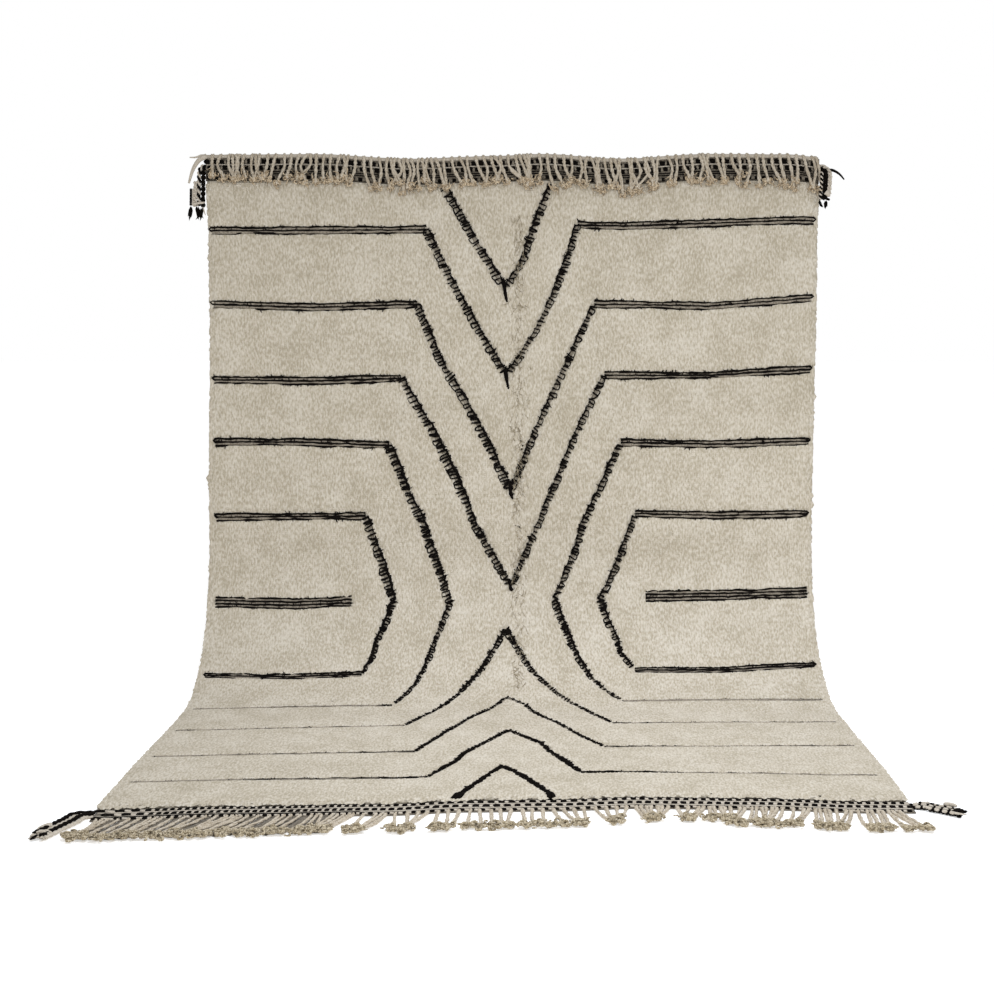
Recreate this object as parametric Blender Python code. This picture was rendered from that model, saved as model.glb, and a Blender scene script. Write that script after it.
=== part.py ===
"""Hand-knotted ivory wool rug with black chevron lines, hung by its top end.

The rug hangs straight down, bends forward near the floor and runs out over it.
Every piece is first laid out flat, as it comes off the loom: x runs across the rug,
y runs up it from zero at the top end, and z is the height above the woven back.
The function hang() then carries each flat point to its place on the hanging rug.
"""

import math
import random
from collections import namedtuple

import bmesh
import bpy
from mathutils import Vector, noise
from mathutils.geometry import delaunay_2d_cdt

# Driving sizes, in metres.  "Down" is the distance along the woven back from the top end.
HANG_HEIGHT = 1.726          # top end above the floor
BEND_RADIUS = 0.470          # radius of the woven back where it turns on to the floor
FIELD_START = 0.080          # depth of the flat-woven top band
FIELD_END = 2.850            # end of the pile and start of the bottom band
CLOTH_END = 2.935            # end of the bottom band
SEAM_GAP = 0.0008            # between the pile field and a band, as laid out flat
SEAT_GAP = 0.0003            # between a band and the plaits at its corners

BACKING = 0.007              # the woven back under the pile
BAND_THICK = 0.0055          # the flat-woven bands
BAND_HALF_TOP = 0.990        # half the width of each band
BAND_HALF_FLOOR = 1.006

PILE_TOP = 0.018             # pile surface above the back
PILE_SWELL = 0.0036          # height of the broad lumps in the pile
SWELL_SIZE = 0.160           # and their size
TUFT_SWELL = 0.0025          # height of the small lumps
TUFT_SIZE = 0.044
LINE_DEPTH = 0.009           # the black lines are clipped lower than the pile
LINE_HALF = 0.018
LINE_STEP = 0.056            # distance between the modelled points along a line
LUMP_STEP = 0.074            # and over the pile
ROW_SHARE = 0.87             # rows of such points lie closer than the points in a row
LUMP_STRAY = 0.012           # how far a point strays from its place in the row
RIM_STEP = 0.034             # half a lock along the edge of the pile
LOCK_REACH = 0.007           # how far the edge locks lean out over the back
LOCK_ROOT = 0.0105           # height at which they leave the edge
SHOULDER = 0.017             # width of the rounded edge of the pile
SHOULDER_DROP = 0.0035
BACK_STEP = 0.210            # distance between the modelled points of the back
BEND_STEP = 0.082            # the same along the bend
BACK_MARGIN = 0.040

STRANDS = 76                 # fringe cords at each end
FIRST_STRAND = 0.965         # distance of the outer cords from the middle line
CORD_HALF = 0.0045           # half the thickness of a fringe cord
KNOT_HALF = 0.0072           # half the width of the knot near its end
STRAND_STRAY = 0.0024        # how far a cord strays from its place and from its lean

# Sides of the pile field: distance of each from the middle line.
Edge = namedtuple("Edge", "down left right")
EDGES = (
    Edge(0.00, 0.988, 0.990),
    Edge(0.20, 0.980, 0.984),
    Edge(0.45, 0.981, 0.987),
    Edge(1.10, 0.994, 0.987),
    Edge(1.45, 0.998, 0.991),
    Edge(2.10, 0.997, 1.001),
    Edge(2.60, 1.008, 1.006),
    Edge(2.95, 1.010, 1.000),
)

# The two ends aren't straight: rise of the top end, and reach of the bottom end.
Wave = namedtuple("Wave", "across rise reach")
WAVES = (
    Wave(-1.04, 0.006, 0.072),
    Wave(-0.64, 0.007, 0.036),
    Wave(-0.32, -0.008, 0.015),
    Wave(-0.08, 0.000, -0.018),
    Wave(0.10, 0.006, -0.028),
    Wave(0.34, -0.009, -0.053),
    Wave(0.64, 0.006, -0.046),
    Wave(0.88, 0.004, -0.026),
    Wave(1.04, -0.010, -0.026),
)
TOP_WAVE_FADE = 0.42         # the top wave dies out this far down the rug
FOOT_WAVE_START = 2.30       # and the bottom one starts here

# The crease where the rug was folded in half, and two across it where it was folded again.
Crease = namedtuple("Crease", "place width depth")
LONG_CREASE = Crease(0.030, 0.028, 0.0060)
CROSS_CREASES = (Crease(0.740, 0.035, 0.0040), Crease(1.430, 0.040, -0.0040))
CREASE_START = 0.090         # the long crease starts under the top band
CREASE_GROWS = 0.150
SWAY_END = 1.300             # slack and creases die out from here
SWAY_FADE = 0.550

# Black lines that meet on the middle of the rug.  A line without sides has no arms.
Chevron = namedtuple(
    "Chevron",
    "left_side left_bend left_row point_across point_down right_bend right_row right_side",
)
CHEVRONS = (
    Chevron(None, -0.215, 0.110, -0.020, 0.415, 0.140, 0.110, None),
    Chevron(0.230, -0.270, 0.222, -0.016, 0.696, 0.216, 0.215, 0.207),
    Chevron(0.465, -0.296, 0.462, 0.000, 1.080, 0.270, 0.470, 0.450),
    Chevron(0.709, -0.353, 0.696, 0.000, 1.400, 0.307, 0.698, 0.676),
    Chevron(2.205, -0.293, 2.143, -0.018, 1.551, 0.306, 2.110, 2.087),
    Chevron(2.465, -0.259, 2.419, -0.012, 1.867, 0.263, 2.366, 2.353),
    Chevron(2.664, -0.211, 2.663, 0.000, 2.206, 0.192, 2.643, 2.642),
    Chevron(None, -0.130, 2.820, -0.010, 2.574, 0.105, 2.820, None),
)

# Black lines that come in from one side, turn at an elbow and run back out.
Bracket = namedtuple(
    "Bracket",
    "side upper_side upper_bend upper_row elbow elbow_down lower_bend lower_row lower_side",
)
BRACKETS = (
    Bracket(-1, 0.919, 0.391, 0.922, 0.187, 1.458, 0.365, 1.922, 1.966),
    Bracket(1, 0.917, 0.361, 0.921, 0.146, 1.450, 0.355, 1.885, 1.879),
    Bracket(-1, 1.162, 0.469, 1.157, 0.368, 1.458, 0.474, 1.744, 1.746),
    Bracket(1, 1.158, 0.406, 1.159, 0.291, 1.442, 0.390, 1.725, 1.691),
)

# Short bars between them.
Bar = namedtuple("Bar", "side inner_end row")
BARS = (Bar(-1, 0.523, 1.460), Bar(1, 0.446, 1.434))
ARM_REACH = 0.955            # the lines stop a little short of the sides

# Length of the fringe cords, and how they lean to one side as a share of that length.
Fall = namedtuple("Fall", "across top_lean top_length floor_lean floor_length")
FALLS = (
    Fall(-1.00, 0.05, 0.085, -0.34, 0.150),
    Fall(-0.70, -0.12, 0.088, -0.48, 0.158),
    Fall(-0.35, 0.10, 0.104, -0.34, 0.136),
    Fall(-0.05, 0.26, 0.096, 0.00, 0.155),
    Fall(0.15, 0.10, 0.106, 0.15, 0.130),
    Fall(0.45, 0.12, 0.110, -0.12, 0.100),
    Fall(0.70, 0.16, 0.092, -0.36, 0.155),
    Fall(0.90, 0.22, 0.100, -0.08, 0.155),
    Fall(1.00, 0.02, 0.120, 0.34, 0.160),
)

# The two bands.  The fringe grows from the end at fringe_down.
Band = namedtuple("Band", "name start stop half_width fringe_down seed")
BANDS = (
    Band("top_band_fringe", 0.0, FIELD_START - SEAM_GAP, BAND_HALF_TOP, 0.0, 11),
    Band("bottom_band_fringe", FIELD_END + SEAM_GAP, CLOTH_END, BAND_HALF_FLOOR, CLOTH_END, 12),
)

# Plaits at the four corners, made of the ends of the twined cords.  Each leaves the
# band's side, turns at its knee and ends in front of the back by its lift.
Tail = namedtuple("Tail", "name side start knee_across knee_down end_across end_down lift width cords")
TAILS = (
    Tail("tail_top_left", -1, 0.030, 1.018, 0.066, 1.020, 0.178, 0.006, 0.042, 3),
    Tail("tail_top_right", 1, 0.030, 1.010, 0.050, 1.004, 0.145, 0.0255, 0.034, 3),
    Tail("tail_bottom_left", -1, 2.890, 1.046, 2.935, 1.094, 3.065, 0.0, 0.044, 2),
    Tail("tail_bottom_right", 1, 2.885, 1.050, 2.900, 1.118, 2.950, 0.0, 0.044, 3),
)
TAIL_THICK = 0.014
TAIL_ROOT = 0.0055
TAIL_ELBOW_RINGS = 4
TAIL_RINGS = 13
TAIL_TURN = 0.036            # length of one crossing of the plait
TAIL_LOBE = 0.16             # how far the crossings swell its sides
TAIL_GROWS = 4.0             # it reaches its full width this many times before its end
TAIL_TIP = 0.6
TAIL_SIDES = 8

IVORY_PILE = (0.66, 0.60, 0.50)
CREAM_CORD = (0.52, 0.45, 0.35)
TAIL_WOOL = (0.12, 0.11, 0.10)
WOOL_ROUGHNESS = 0.95


def clamp(value, low, high):
    return max(low, min(high, value))


def ease(share):
    """Smooth step from 0 to 1."""
    share = clamp(share, 0.0, 1.0)
    return share * share * (3.0 - 2.0 * share)


def read(table, key, place, column):
    """Value of a column at a place between two rows of a table."""
    for low, high in zip(table, table[1:]):
        start, stop = getattr(low, key), getattr(high, key)
        if place <= stop:
            share = ease((place - start) / (stop - start))
            return getattr(low, column) + share * (getattr(high, column) - getattr(low, column))
    return getattr(table[-1], column)


def crease(distance, fold):
    """Depth of a fold mark at a distance from its line."""
    return -fold.depth * math.exp(-((distance / fold.width) ** 2))


def sway(across, down):
    """How far the hanging cloth stands forward of a flat wall: slack and creases."""
    slack = 0.0050 * math.sin(3.1 * across + 0.6) * math.sin(2.4 * down + 0.3)
    slack += 0.0030 * math.sin(7.3 * across - 2.2 * down)
    long_crease = crease(across - LONG_CREASE.place, LONG_CREASE)
    long_crease *= ease((down - CREASE_START) / CREASE_GROWS)
    cross_creases = sum(crease(down - fold.place, fold) for fold in CROSS_CREASES)
    fade = 1.0 - ease((down - SWAY_END) / SWAY_FADE)
    return fade * (slack + long_crease + cross_creases)


def hang(flat):
    """Place of a flat point on the rug as it hangs and runs out over the floor."""
    across, down, height = flat[0], -flat[1], flat[2]
    straight = HANG_HEIGHT - BEND_RADIUS
    turn = clamp((down - straight) / BEND_RADIUS, 0.0, math.pi / 2)
    run_out = max(0.0, down - straight - BEND_RADIUS * math.pi / 2)
    run_out += read(WAVES, "across", across, "reach") * ease(
        (down - FOOT_WAVE_START) / (FIELD_END - FOOT_WAVE_START)
    )
    front = height + sway(across, down)
    y = -BEND_RADIUS * (1.0 - math.cos(turn)) - run_out - front * math.cos(turn)
    z = -min(down, straight) - BEND_RADIUS * math.sin(turn) + front * math.sin(turn)
    z += read(WAVES, "across", across, "rise") * (1.0 - ease(down / TOP_WAVE_FADE))
    return Vector((across, y, z))


def black_lines():
    """Each black line as a list of its corners, across and down the rug."""
    lines = []
    for row in CHEVRONS:
        line = [
            (row.left_bend, row.left_row),
            (row.point_across, row.point_down),
            (row.right_bend, row.right_row),
        ]
        if row.left_side is not None:
            line.insert(0, (-ARM_REACH, row.left_side))
            line.append((ARM_REACH, row.right_side))
        lines.append(line)
    for row in BRACKETS:
        lines.append([
            (row.side * ARM_REACH, row.upper_side),
            (row.side * row.upper_bend, row.upper_row),
            (row.side * row.elbow, row.elbow_down),
            (row.side * row.lower_bend, row.lower_row),
            (row.side * ARM_REACH, row.lower_side),
        ])
    for row in BARS:
        lines.append([(row.side * ARM_REACH, row.row), (row.side * row.inner_end, row.row)])
    return [[Vector((across, -down)) for across, down in line] for line in lines]


LINES = black_lines()
SEGMENTS = [pair for line in LINES for pair in zip(line, line[1:])]


def line_distance(point):
    """Distance from a flat point to the nearest black line."""
    nearest = 1.0
    for start, stop in SEGMENTS:
        run = stop - start
        share = clamp((point - start).dot(run) / run.length_squared, 0.0, 1.0)
        nearest = min(nearest, (start + run * share - point).length)
    return nearest


def pile_height(point):
    """Height of the pile at a flat point, with its lumps and the sunken black lines."""
    swell = PILE_SWELL * noise.noise(Vector((point.x / SWELL_SIZE, point.y / SWELL_SIZE, 3.7)))
    swell += TUFT_SWELL * noise.noise(Vector((point.x / TUFT_SIZE, point.y / TUFT_SIZE, 9.1)))
    sunk = LINE_DEPTH * max(0.0, 1.0 - line_distance(point) / LINE_HALF)
    return PILE_TOP + swell - sunk


def rim():
    """Points round the pile field with their outward directions, anticlockwise."""
    foot = (-read(EDGES, "down", FIELD_END, "left"), read(EDGES, "down", FIELD_END, "right"))
    head = (-read(EDGES, "down", FIELD_START, "left"), read(EDGES, "down", FIELD_START, "right"))
    long_count = 2 * round((FIELD_END - FIELD_START) / RIM_STEP / 2)
    foot_count = 2 * round((foot[1] - foot[0]) / RIM_STEP / 2)
    head_count = 2 * round((head[1] - head[0]) / RIM_STEP / 2)
    points = []
    for index in range(foot_count):
        across = foot[0] + (foot[1] - foot[0]) * index / foot_count
        points.append((Vector((across, -FIELD_END)), Vector((0.0, -1.0))))
    for index in range(long_count):
        down = FIELD_END + (FIELD_START - FIELD_END) * index / long_count
        across = read(EDGES, "down", down, "right")
        points.append((Vector((across, -down)), Vector((1.0, 0.0))))
    for index in range(head_count):
        across = head[1] + (head[0] - head[1]) * index / head_count
        points.append((Vector((across, -FIELD_START)), Vector((0.0, 1.0))))
    for index in range(long_count):
        down = FIELD_START + (FIELD_END - FIELD_START) * index / long_count
        across = -read(EDGES, "down", down, "left")
        points.append((Vector((across, -down)), Vector((-1.0, 0.0))))
    return points


def inside(point, margin):
    down = -point.y
    left = -read(EDGES, "down", down, "left") + margin
    right = read(EDGES, "down", down, "right") - margin
    return left < point.x < right and FIELD_START + margin < down < FIELD_END - margin


class Scatter:
    """Points in the flat that keep a distance from each other."""

    CELL = 0.1

    def __init__(self, points):
        self.points = []
        self.cells = {}
        for point in points:
            self.add(point)

    def cell(self, point):
        return int(point.x // self.CELL), int(point.y // self.CELL)

    def clear_of(self, point, gap):
        column, row = self.cell(point)
        for x in (column - 1, column, column + 1):
            for y in (row - 1, row, row + 1):
                if any((other - point).length < gap for other in self.cells.get((x, y), ())):
                    return False
        return True

    def add(self, point):
        self.points.append(point)
        self.cells.setdefault(self.cell(point), []).append(point)
        return len(self.points) - 1


def line_stations(start, stop):
    count = max(1, round((stop - start).length / LINE_STEP))
    return [start.lerp(stop, index / count) for index in range(count + 1)]


def add_line_bottoms(scatter):
    """Add the bottoms of the black lines; return the edges that join them."""
    spines = []
    for line in LINES:
        stations = [line[0]]
        for start, stop in zip(line, line[1:]):
            stations += line_stations(start, stop)[1:]
        indices = [scatter.add(station) for station in stations]
        spines += zip(indices, indices[1:])
    return spines


def add_line_lips(scatter):
    """Add the two upper edges of each black line."""
    for start, stop in SEGMENTS:
        side = (stop - start).orthogonal().normalized() * LINE_HALF
        for station in line_stations(start, stop):
            for lip in (station + side, station - side):
                clear = line_distance(lip) > LINE_HALF * 0.9 and scatter.clear_of(lip, LINE_HALF * 0.9)
                if clear and inside(lip, SHOULDER):
                    scatter.add(lip)


def add_lumps(scatter):
    """Add the lumps of the pile, in rows that stray a little."""
    generator = random.Random(41)
    row_step = LUMP_STEP * ROW_SHARE
    half_count = math.ceil(BAND_HALF_FLOOR / LUMP_STEP)
    for row in range(1, math.ceil((FIELD_END - FIELD_START) / row_step)):
        for column in range(-half_count, half_count + 1):
            across = (column + 0.5 * (row % 2)) * LUMP_STEP
            across += generator.uniform(-LUMP_STRAY, LUMP_STRAY)
            down = FIELD_START + row * row_step + generator.uniform(-LUMP_STRAY, LUMP_STRAY)
            point = Vector((across, -down))
            if inside(point, SHOULDER * 1.6) and scatter.clear_of(point, LUMP_STEP * 0.52):
                scatter.add(point)


def back_points():
    """Points of the woven back, close together only round the bend."""
    straight = HANG_HEIGHT - BEND_RADIUS
    bend_end = straight + BEND_RADIUS * math.pi / 2
    points = []
    down = FIELD_START
    while down < FIELD_END:
        down += BEND_STEP if straight - BACK_STEP / 2 < down < bend_end else BACK_STEP
        for column in range(-4, 5):
            point = Vector((column * BACK_STEP, -down))
            if inside(point, BACK_MARGIN):
                points.append(point)
    return points


def triangles(points, outline_count, spines=()):
    """Triangles between flat points, inside the outline that the first of them make."""
    outline = list(range(outline_count))
    result = delaunay_2d_cdt(points, list(spines), [outline], 1, 1e-6)
    return result[0], result[2], result[3]


def wool(name, colour):
    made = bpy.data.materials.new(name)
    made.use_nodes = True
    shader = made.node_tree.nodes["Principled BSDF"]
    shader.inputs["Base Color"].default_value = (*colour, 1.0)
    shader.inputs["Roughness"].default_value = WOOL_ROUGHNESS
    shader.inputs["Metallic"].default_value = 0.0
    return made


def finish(bm, name, collection, surface):
    """Hang a flat piece and make it an object."""
    for vertex in bm.verts:
        vertex.co = hang(vertex.co)
    bmesh.ops.recalc_face_normals(bm, faces=bm.faces)
    mesh = bpy.data.meshes.new(name)
    bm.to_mesh(mesh)
    bm.free()
    mesh.materials.append(surface)
    piece = bpy.data.objects.new(name, mesh)
    collection.objects.link(piece)
    return piece


def add_surface(bm, points, faces, height_at, rim_vertices, origins, turn_over=False):
    """Add triangulated flat points as a surface joined to the vertices of its rim."""
    vertices = []
    for index, point in enumerate(points):
        on_rim = [source for source in origins[index] if source < len(rim_vertices)]
        if on_rim:
            vertices.append(rim_vertices[on_rim[0]])
        else:
            vertices.append(bm.verts.new((point.x, point.y, height_at(point, origins[index]))))
    for face in faces:
        corners = [vertices[index] for index in face]
        bm.faces.new(reversed(corners) if turn_over else corners)


def pile_field(collection):
    """The knotted field: woven back, lumpy pile, locks round the edge."""
    generator = random.Random(7)
    edge = rim()
    count = len(edge)
    locks = []
    shoulder = []
    for index, (point, outward) in enumerate(edge):
        reach = LOCK_REACH * generator.uniform(0.5, 1.0) if index % 2 else 0.0
        locks.append(point + outward * reach)
        straight_on = edge[index - 1][1] == outward == edge[(index + 1) % count][1]
        if index % 2 and straight_on:
            shoulder.append(point - outward * SHOULDER)
    scatter = Scatter(locks + shoulder)
    spines = add_line_bottoms(scatter)
    add_line_lips(scatter)
    add_lumps(scatter)

    bm = bmesh.new()
    under = [bm.verts.new((point.x, point.y, 0.0)) for point, outward in edge]
    middle = [bm.verts.new((point.x, point.y, BACKING)) for point, outward in edge]
    upper = [bm.verts.new((point.x, point.y, LOCK_ROOT)) for point in locks]
    for lower_ring, upper_ring in ((under, middle), (middle, upper)):
        for index in range(count):
            after = (index + 1) % count
            corners = (lower_ring[index], lower_ring[after], upper_ring[after], upper_ring[index])
            bm.faces.new(corners)

    def front_height(point, sources):
        on_shoulder = any(source < count + len(shoulder) for source in sources)
        return pile_height(point) - (SHOULDER_DROP if on_shoulder else 0.0)

    points, faces, origins = triangles(scatter.points, count, spines)
    add_surface(bm, points, faces, front_height, upper, origins)
    outline = [point for point, outward in edge]
    points, faces, origins = triangles(outline + back_points(), count)
    add_surface(bm, points, faces, lambda point, sources: 0.0, under, origins, turn_over=True)
    return finish(bm, "pile_field", collection, wool("ivory_wool_pile", IVORY_PILE))


def grow(bm, face, rings):
    """Push a face along a path; each ring gives its corners by their two signs."""
    centre = face.calc_center_median()
    signs = {}
    for vertex in face.verts:
        signs[vertex] = (1 if vertex.co.x > centre.x else -1, 1 if vertex.co.z > centre.z else -1)
    for corners in rings:
        face = bmesh.ops.extrude_discrete_faces(bm, faces=[face])["faces"][0]
        grown = {}
        for vertex in face.verts:
            origin = min(signs, key=lambda old: (old.co - vertex.co).length_squared)
            grown[vertex] = signs[origin]
        for vertex, sign in grown.items():
            vertex.co = corners[sign]
        signs = grown


def ring(across, down, height, half_wide, half_thick, tilt):
    """Four corners of a cord; tilt turns them as the cord turns over."""
    along = math.sin(tilt) * half_thick
    out = math.cos(tilt) * half_thick
    corners = {}
    for right in (-1, 1):
        for front in (-1, 1):
            place = (across + right * half_wide, -(down + along * front), height + out * front)
            corners[(right, front)] = Vector(place)
    return corners


def top_strand(root, generator):
    """Rings of a cord that turns over the top end and falls in front of the band."""
    length = read(FALLS, "across", root, "top_length") * generator.uniform(0.92, 1.08)
    lean = read(FALLS, "across", root, "top_lean") * length
    lean += generator.uniform(-STRAND_STRAY, STRAND_STRAY)
    knot = KNOT_HALF * generator.uniform(0.88, 1.08)
    thin = CORD_HALF
    front = PILE_TOP + PILE_SWELL + TUFT_SWELL + knot
    return (
        ring(root, -0.008, 0.0095, thin, thin, math.radians(45)),
        ring(root + lean * 0.05, 0.006, 0.0200, thin, thin, math.radians(140)),
        ring(root + lean * 0.88, length * 0.86, front, knot, knot, math.radians(180)),
        ring(root + lean, length, front, thin, thin * 0.8, math.radians(180)),
    )


def floor_strand(root, generator):
    """Rings of a cord that lies level on the floor."""
    length = read(FALLS, "across", root, "floor_length") * generator.uniform(0.90, 1.05)
    lean = read(FALLS, "across", root, "floor_lean") * length
    lean += generator.uniform(-STRAND_STRAY, STRAND_STRAY)
    knot = KNOT_HALF * generator.uniform(0.88, 1.08)
    thin = CORD_HALF
    return (
        ring(root + lean * 0.22, CLOTH_END + length * 0.28, thin, thin, thin, 0.0),
        ring(root + lean * 0.62, CLOTH_END + length * 0.64, thin, thin, thin, 0.0),
        ring(root + lean * 0.88, CLOTH_END + length * 0.86, knot, knot, knot, 0.0),
        ring(root + lean, CLOTH_END + length, thin, thin * 1.2, thin, 0.0),
    )


def fringed_band(band, collection):
    """A flat-woven band with its fringe cords, which are the warps of the band."""
    generator = random.Random(band.seed)
    strand = top_strand if band.fringe_down == 0.0 else floor_strand
    pitch = 2 * FIRST_STRAND / (STRANDS - 1)
    roots = []
    columns = [-band.half_width]
    for index in range(STRANDS):
        root = -FIRST_STRAND + pitch * index + generator.uniform(-STRAND_STRAY, STRAND_STRAY)
        roots.append(root)
        columns += [root - CORD_HALF, root + CORD_HALF]
    columns.append(band.half_width)
    bm = bmesh.new()
    bmesh.ops.create_grid(bm, x_segments=len(columns) - 1, y_segments=1, size=1.0)
    ordered = sorted(bm.verts, key=lambda vertex: (round(vertex.co.y), vertex.co.x))
    for index, vertex in enumerate(ordered):
        down = band.stop if index < len(columns) else band.start
        vertex.co = Vector((columns[index % len(columns)], -down, 0.0))
    bmesh.ops.solidify(bm, geom=list(bm.faces), thickness=-BAND_THICK)
    bm.normal_update()
    end_faces = {}
    for face in bm.faces:
        centre = face.calc_center_median()
        if abs(centre.y + band.fringe_down) < 1e-5 and abs(face.normal.y) > 0.9:
            end_faces[centre.x] = face
    for root in roots:
        nearest = min(end_faces, key=lambda across: abs(across - root))
        grow(bm, end_faces[nearest], strand(root, generator))
    return finish(bm, band.name, collection, wool(band.name + "_wool", CREAM_CORD))


def tail_route(row):
    """Centre line of a corner plait: straight out of the band's side, then round its knee."""
    half_band = BAND_HALF_TOP if row.start < FIELD_START else BAND_HALF_FLOOR
    start = Vector((half_band + SEAT_GAP, row.start))
    knee = Vector((row.knee_across, row.knee_down))
    corner = Vector((row.knee_across, row.start))
    end = Vector((row.end_across, row.end_down))
    route = []
    for index in range(TAIL_ELBOW_RINGS + 1):
        share = index / TAIL_ELBOW_RINGS
        route.append(start.lerp(corner, share).lerp(corner.lerp(knee, share), share))
    straight_rings = TAIL_RINGS - TAIL_ELBOW_RINGS
    for index in range(1, straight_rings):
        route.append(knee.lerp(end, index / (straight_rings - 1)))
    return route


def corner_plait(row, collection):
    """One corner plait, level underneath so that it can lie on the floor."""
    route = tail_route(row)
    half_side = math.pi / TAIL_SIDES
    bm = bmesh.new()
    bmesh.ops.create_circle(bm, cap_ends=True, segments=TAIL_SIDES, radius=1.0)
    face = bm.faces[:][0]
    loop = list(face.verts)
    root = list(loop)
    travelled = 0.0
    for index, centre in enumerate(route):
        share = index / (len(route) - 1)
        grown = ease(share * TAIL_GROWS)
        ahead = Vector((1.0, 0.0))
        if index:
            face = bmesh.ops.extrude_discrete_faces(bm, faces=[face])["faces"][0]
            loop = [min(face.verts, key=lambda new: (new.co - old.co).length_squared) for old in loop]
            ahead = (route[min(index + 1, len(route) - 1)] - route[index - 1]).normalized()
            travelled += (centre - route[index - 1]).length
        side = Vector((-ahead.y, ahead.x))
        half = 0.5 * row.width * (0.55 + 0.45 * grown) * (TAIL_TIP if share == 1.0 else 1.0)
        thick = TAIL_ROOT + (TAIL_THICK - TAIL_ROOT) * grown
        beat = math.pi * row.cords * travelled / TAIL_TURN
        for corner, vertex in enumerate(loop):
            angle = half_side * (2 * corner + 1)
            out = math.cos(angle) / math.cos(half_side)
            lobe = 1.0 + TAIL_LOBE * math.sin(beat) * (1 if out > 0 else -1)
            place = centre + side * (half * out * lobe)
            height = row.lift * grown + 0.5 * thick * (1.0 + math.sin(angle) / math.cos(half_side))
            vertex.co = Vector((row.side * place.x, -place.y, height))
    bm.faces.new(root)
    return finish(bm, row.name, collection, wool(row.name + "_wool", TAIL_WOOL))


def build():
    for piece in list(bpy.data.objects):
        bpy.data.objects.remove(piece)
    rug = bpy.data.collections.new("rug")
    bpy.context.scene.collection.children.link(rug)
    pile_field(rug)
    for band in BANDS:
        fringed_band(band, rug)
    for row in TAILS:
        corner_plait(row, rug)


build()
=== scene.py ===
# %% [markdown]
# # An ivory wool pile rug with black lines
# This rug is knotted by hand on an upright loom. Cream warp cords run its whole length,
# ivory wool is knotted round them row by row, and black yarn draws the lines.
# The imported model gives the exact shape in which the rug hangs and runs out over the
# floor. This script leaves that shape alone and dresses it: every lock of wool, every
# black row, every fringe cord. Each piece is laid out flat first, as it comes off the
# loom, and one function then hangs it, because flat work is far easier to think about.

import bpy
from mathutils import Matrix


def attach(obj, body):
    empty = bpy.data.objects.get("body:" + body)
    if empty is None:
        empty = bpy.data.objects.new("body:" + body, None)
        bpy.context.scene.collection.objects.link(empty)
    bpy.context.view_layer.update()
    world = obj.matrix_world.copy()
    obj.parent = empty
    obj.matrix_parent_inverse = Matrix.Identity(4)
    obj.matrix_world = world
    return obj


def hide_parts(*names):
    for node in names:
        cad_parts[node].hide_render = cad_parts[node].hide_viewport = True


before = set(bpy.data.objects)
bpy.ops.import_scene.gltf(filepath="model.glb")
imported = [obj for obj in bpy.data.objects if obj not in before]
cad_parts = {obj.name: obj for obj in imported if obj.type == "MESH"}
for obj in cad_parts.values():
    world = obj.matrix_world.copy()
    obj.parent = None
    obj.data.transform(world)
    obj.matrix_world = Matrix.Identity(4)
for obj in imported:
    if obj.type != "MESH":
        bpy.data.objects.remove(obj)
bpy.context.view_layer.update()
print("solids of the frame:", ", ".join(sorted(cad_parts)))

# %% Tools
import math
import random
from collections import namedtuple

import bpy
import numpy as np
from mathutils import Vector

# %% [markdown]
# ## How the rug hangs
# A flat point has three numbers: across the rug, down the rug from its top end, and the
# height above the woven back. The rug hangs straight, turns through a quarter circle
# near the floor and runs out forward. The sizes are the same as in the solids, so a
# piece that is laid out flat lands exactly on them.

# %% Sizes of the rug, in metres
HANG_HEIGHT = 1.726          # top end above the floor
BEND_RADIUS = 0.470          # of the woven back where it turns on to the floor
FIELD_START = 0.080          # the pile starts here, below the top band
FIELD_END = 2.850            # and ends here
CLOTH_END = 2.935            # end of the bottom band
SEAM_GAP = 0.0008            # between the pile field and a band
PILE_TOP = 0.018             # height of the pile
TOP_WAVE_FADE = 0.42         # the waves of the top end fade out over this length
FOOT_WAVE_START = 2.30       # those of the bottom end begin here
CREASE_START = 0.090         # the long crease begins here
CREASE_GROWS = 0.150         # and is full after this length
SWAY_END = 1.300             # from here the cloth is held by its own bend
SWAY_FADE = 0.550            # and stops swaying over this length
LYING_START = 1.30           # from here the pile begins to look as it does on the floor
LYING_GROWS = 0.60           # and does so fully after this length
FLOOR_START = 2.05           # past this the cloth is down on the floor
FLOOR_CLEAR = 0.0002         # what lies on the floor stays this far above it
BACK_SEEN = 2.0              # down to here the back shows from behind

# The sides: how far they are from the middle at some places down the rug.
Edge = namedtuple("Edge", "down left right")
EDGES = (
    Edge(0.00, 0.988, 0.990),
    Edge(0.20, 0.980, 0.984),
    Edge(0.45, 0.981, 0.987),
    Edge(1.10, 0.994, 0.987),
    Edge(1.45, 0.998, 0.991),
    Edge(2.10, 0.997, 1.001),
    Edge(2.60, 1.008, 1.006),
    Edge(2.95, 1.010, 1.000),
)
# The ends aren't straight: how far the top end rises and how far the bottom end reaches.
Wave = namedtuple("Wave", "across rise reach")
WAVES = (
    Wave(-1.04, 0.006, 0.072),
    Wave(-0.64, 0.007, 0.036),
    Wave(-0.32, -0.008, 0.015),
    Wave(-0.08, 0.000, -0.018),
    Wave(0.10, 0.006, -0.028),
    Wave(0.34, -0.009, -0.053),
    Wave(0.64, 0.006, -0.046),
    Wave(0.88, 0.004, -0.026),
    Wave(1.04, -0.010, -0.026),
)
# Soft marks of old folds, one down the rug and two across it.
Crease = namedtuple("Crease", "place width depth")
LONG_CREASE = Crease(0.030, 0.028, 0.0060)
CROSS_CREASES = (Crease(0.740, 0.035, 0.0040), Crease(1.430, 0.040, -0.0040))
print("cloth", CLOTH_END, "m long, with", round(FIELD_END - FIELD_START, 3), "m of pile")


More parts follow.
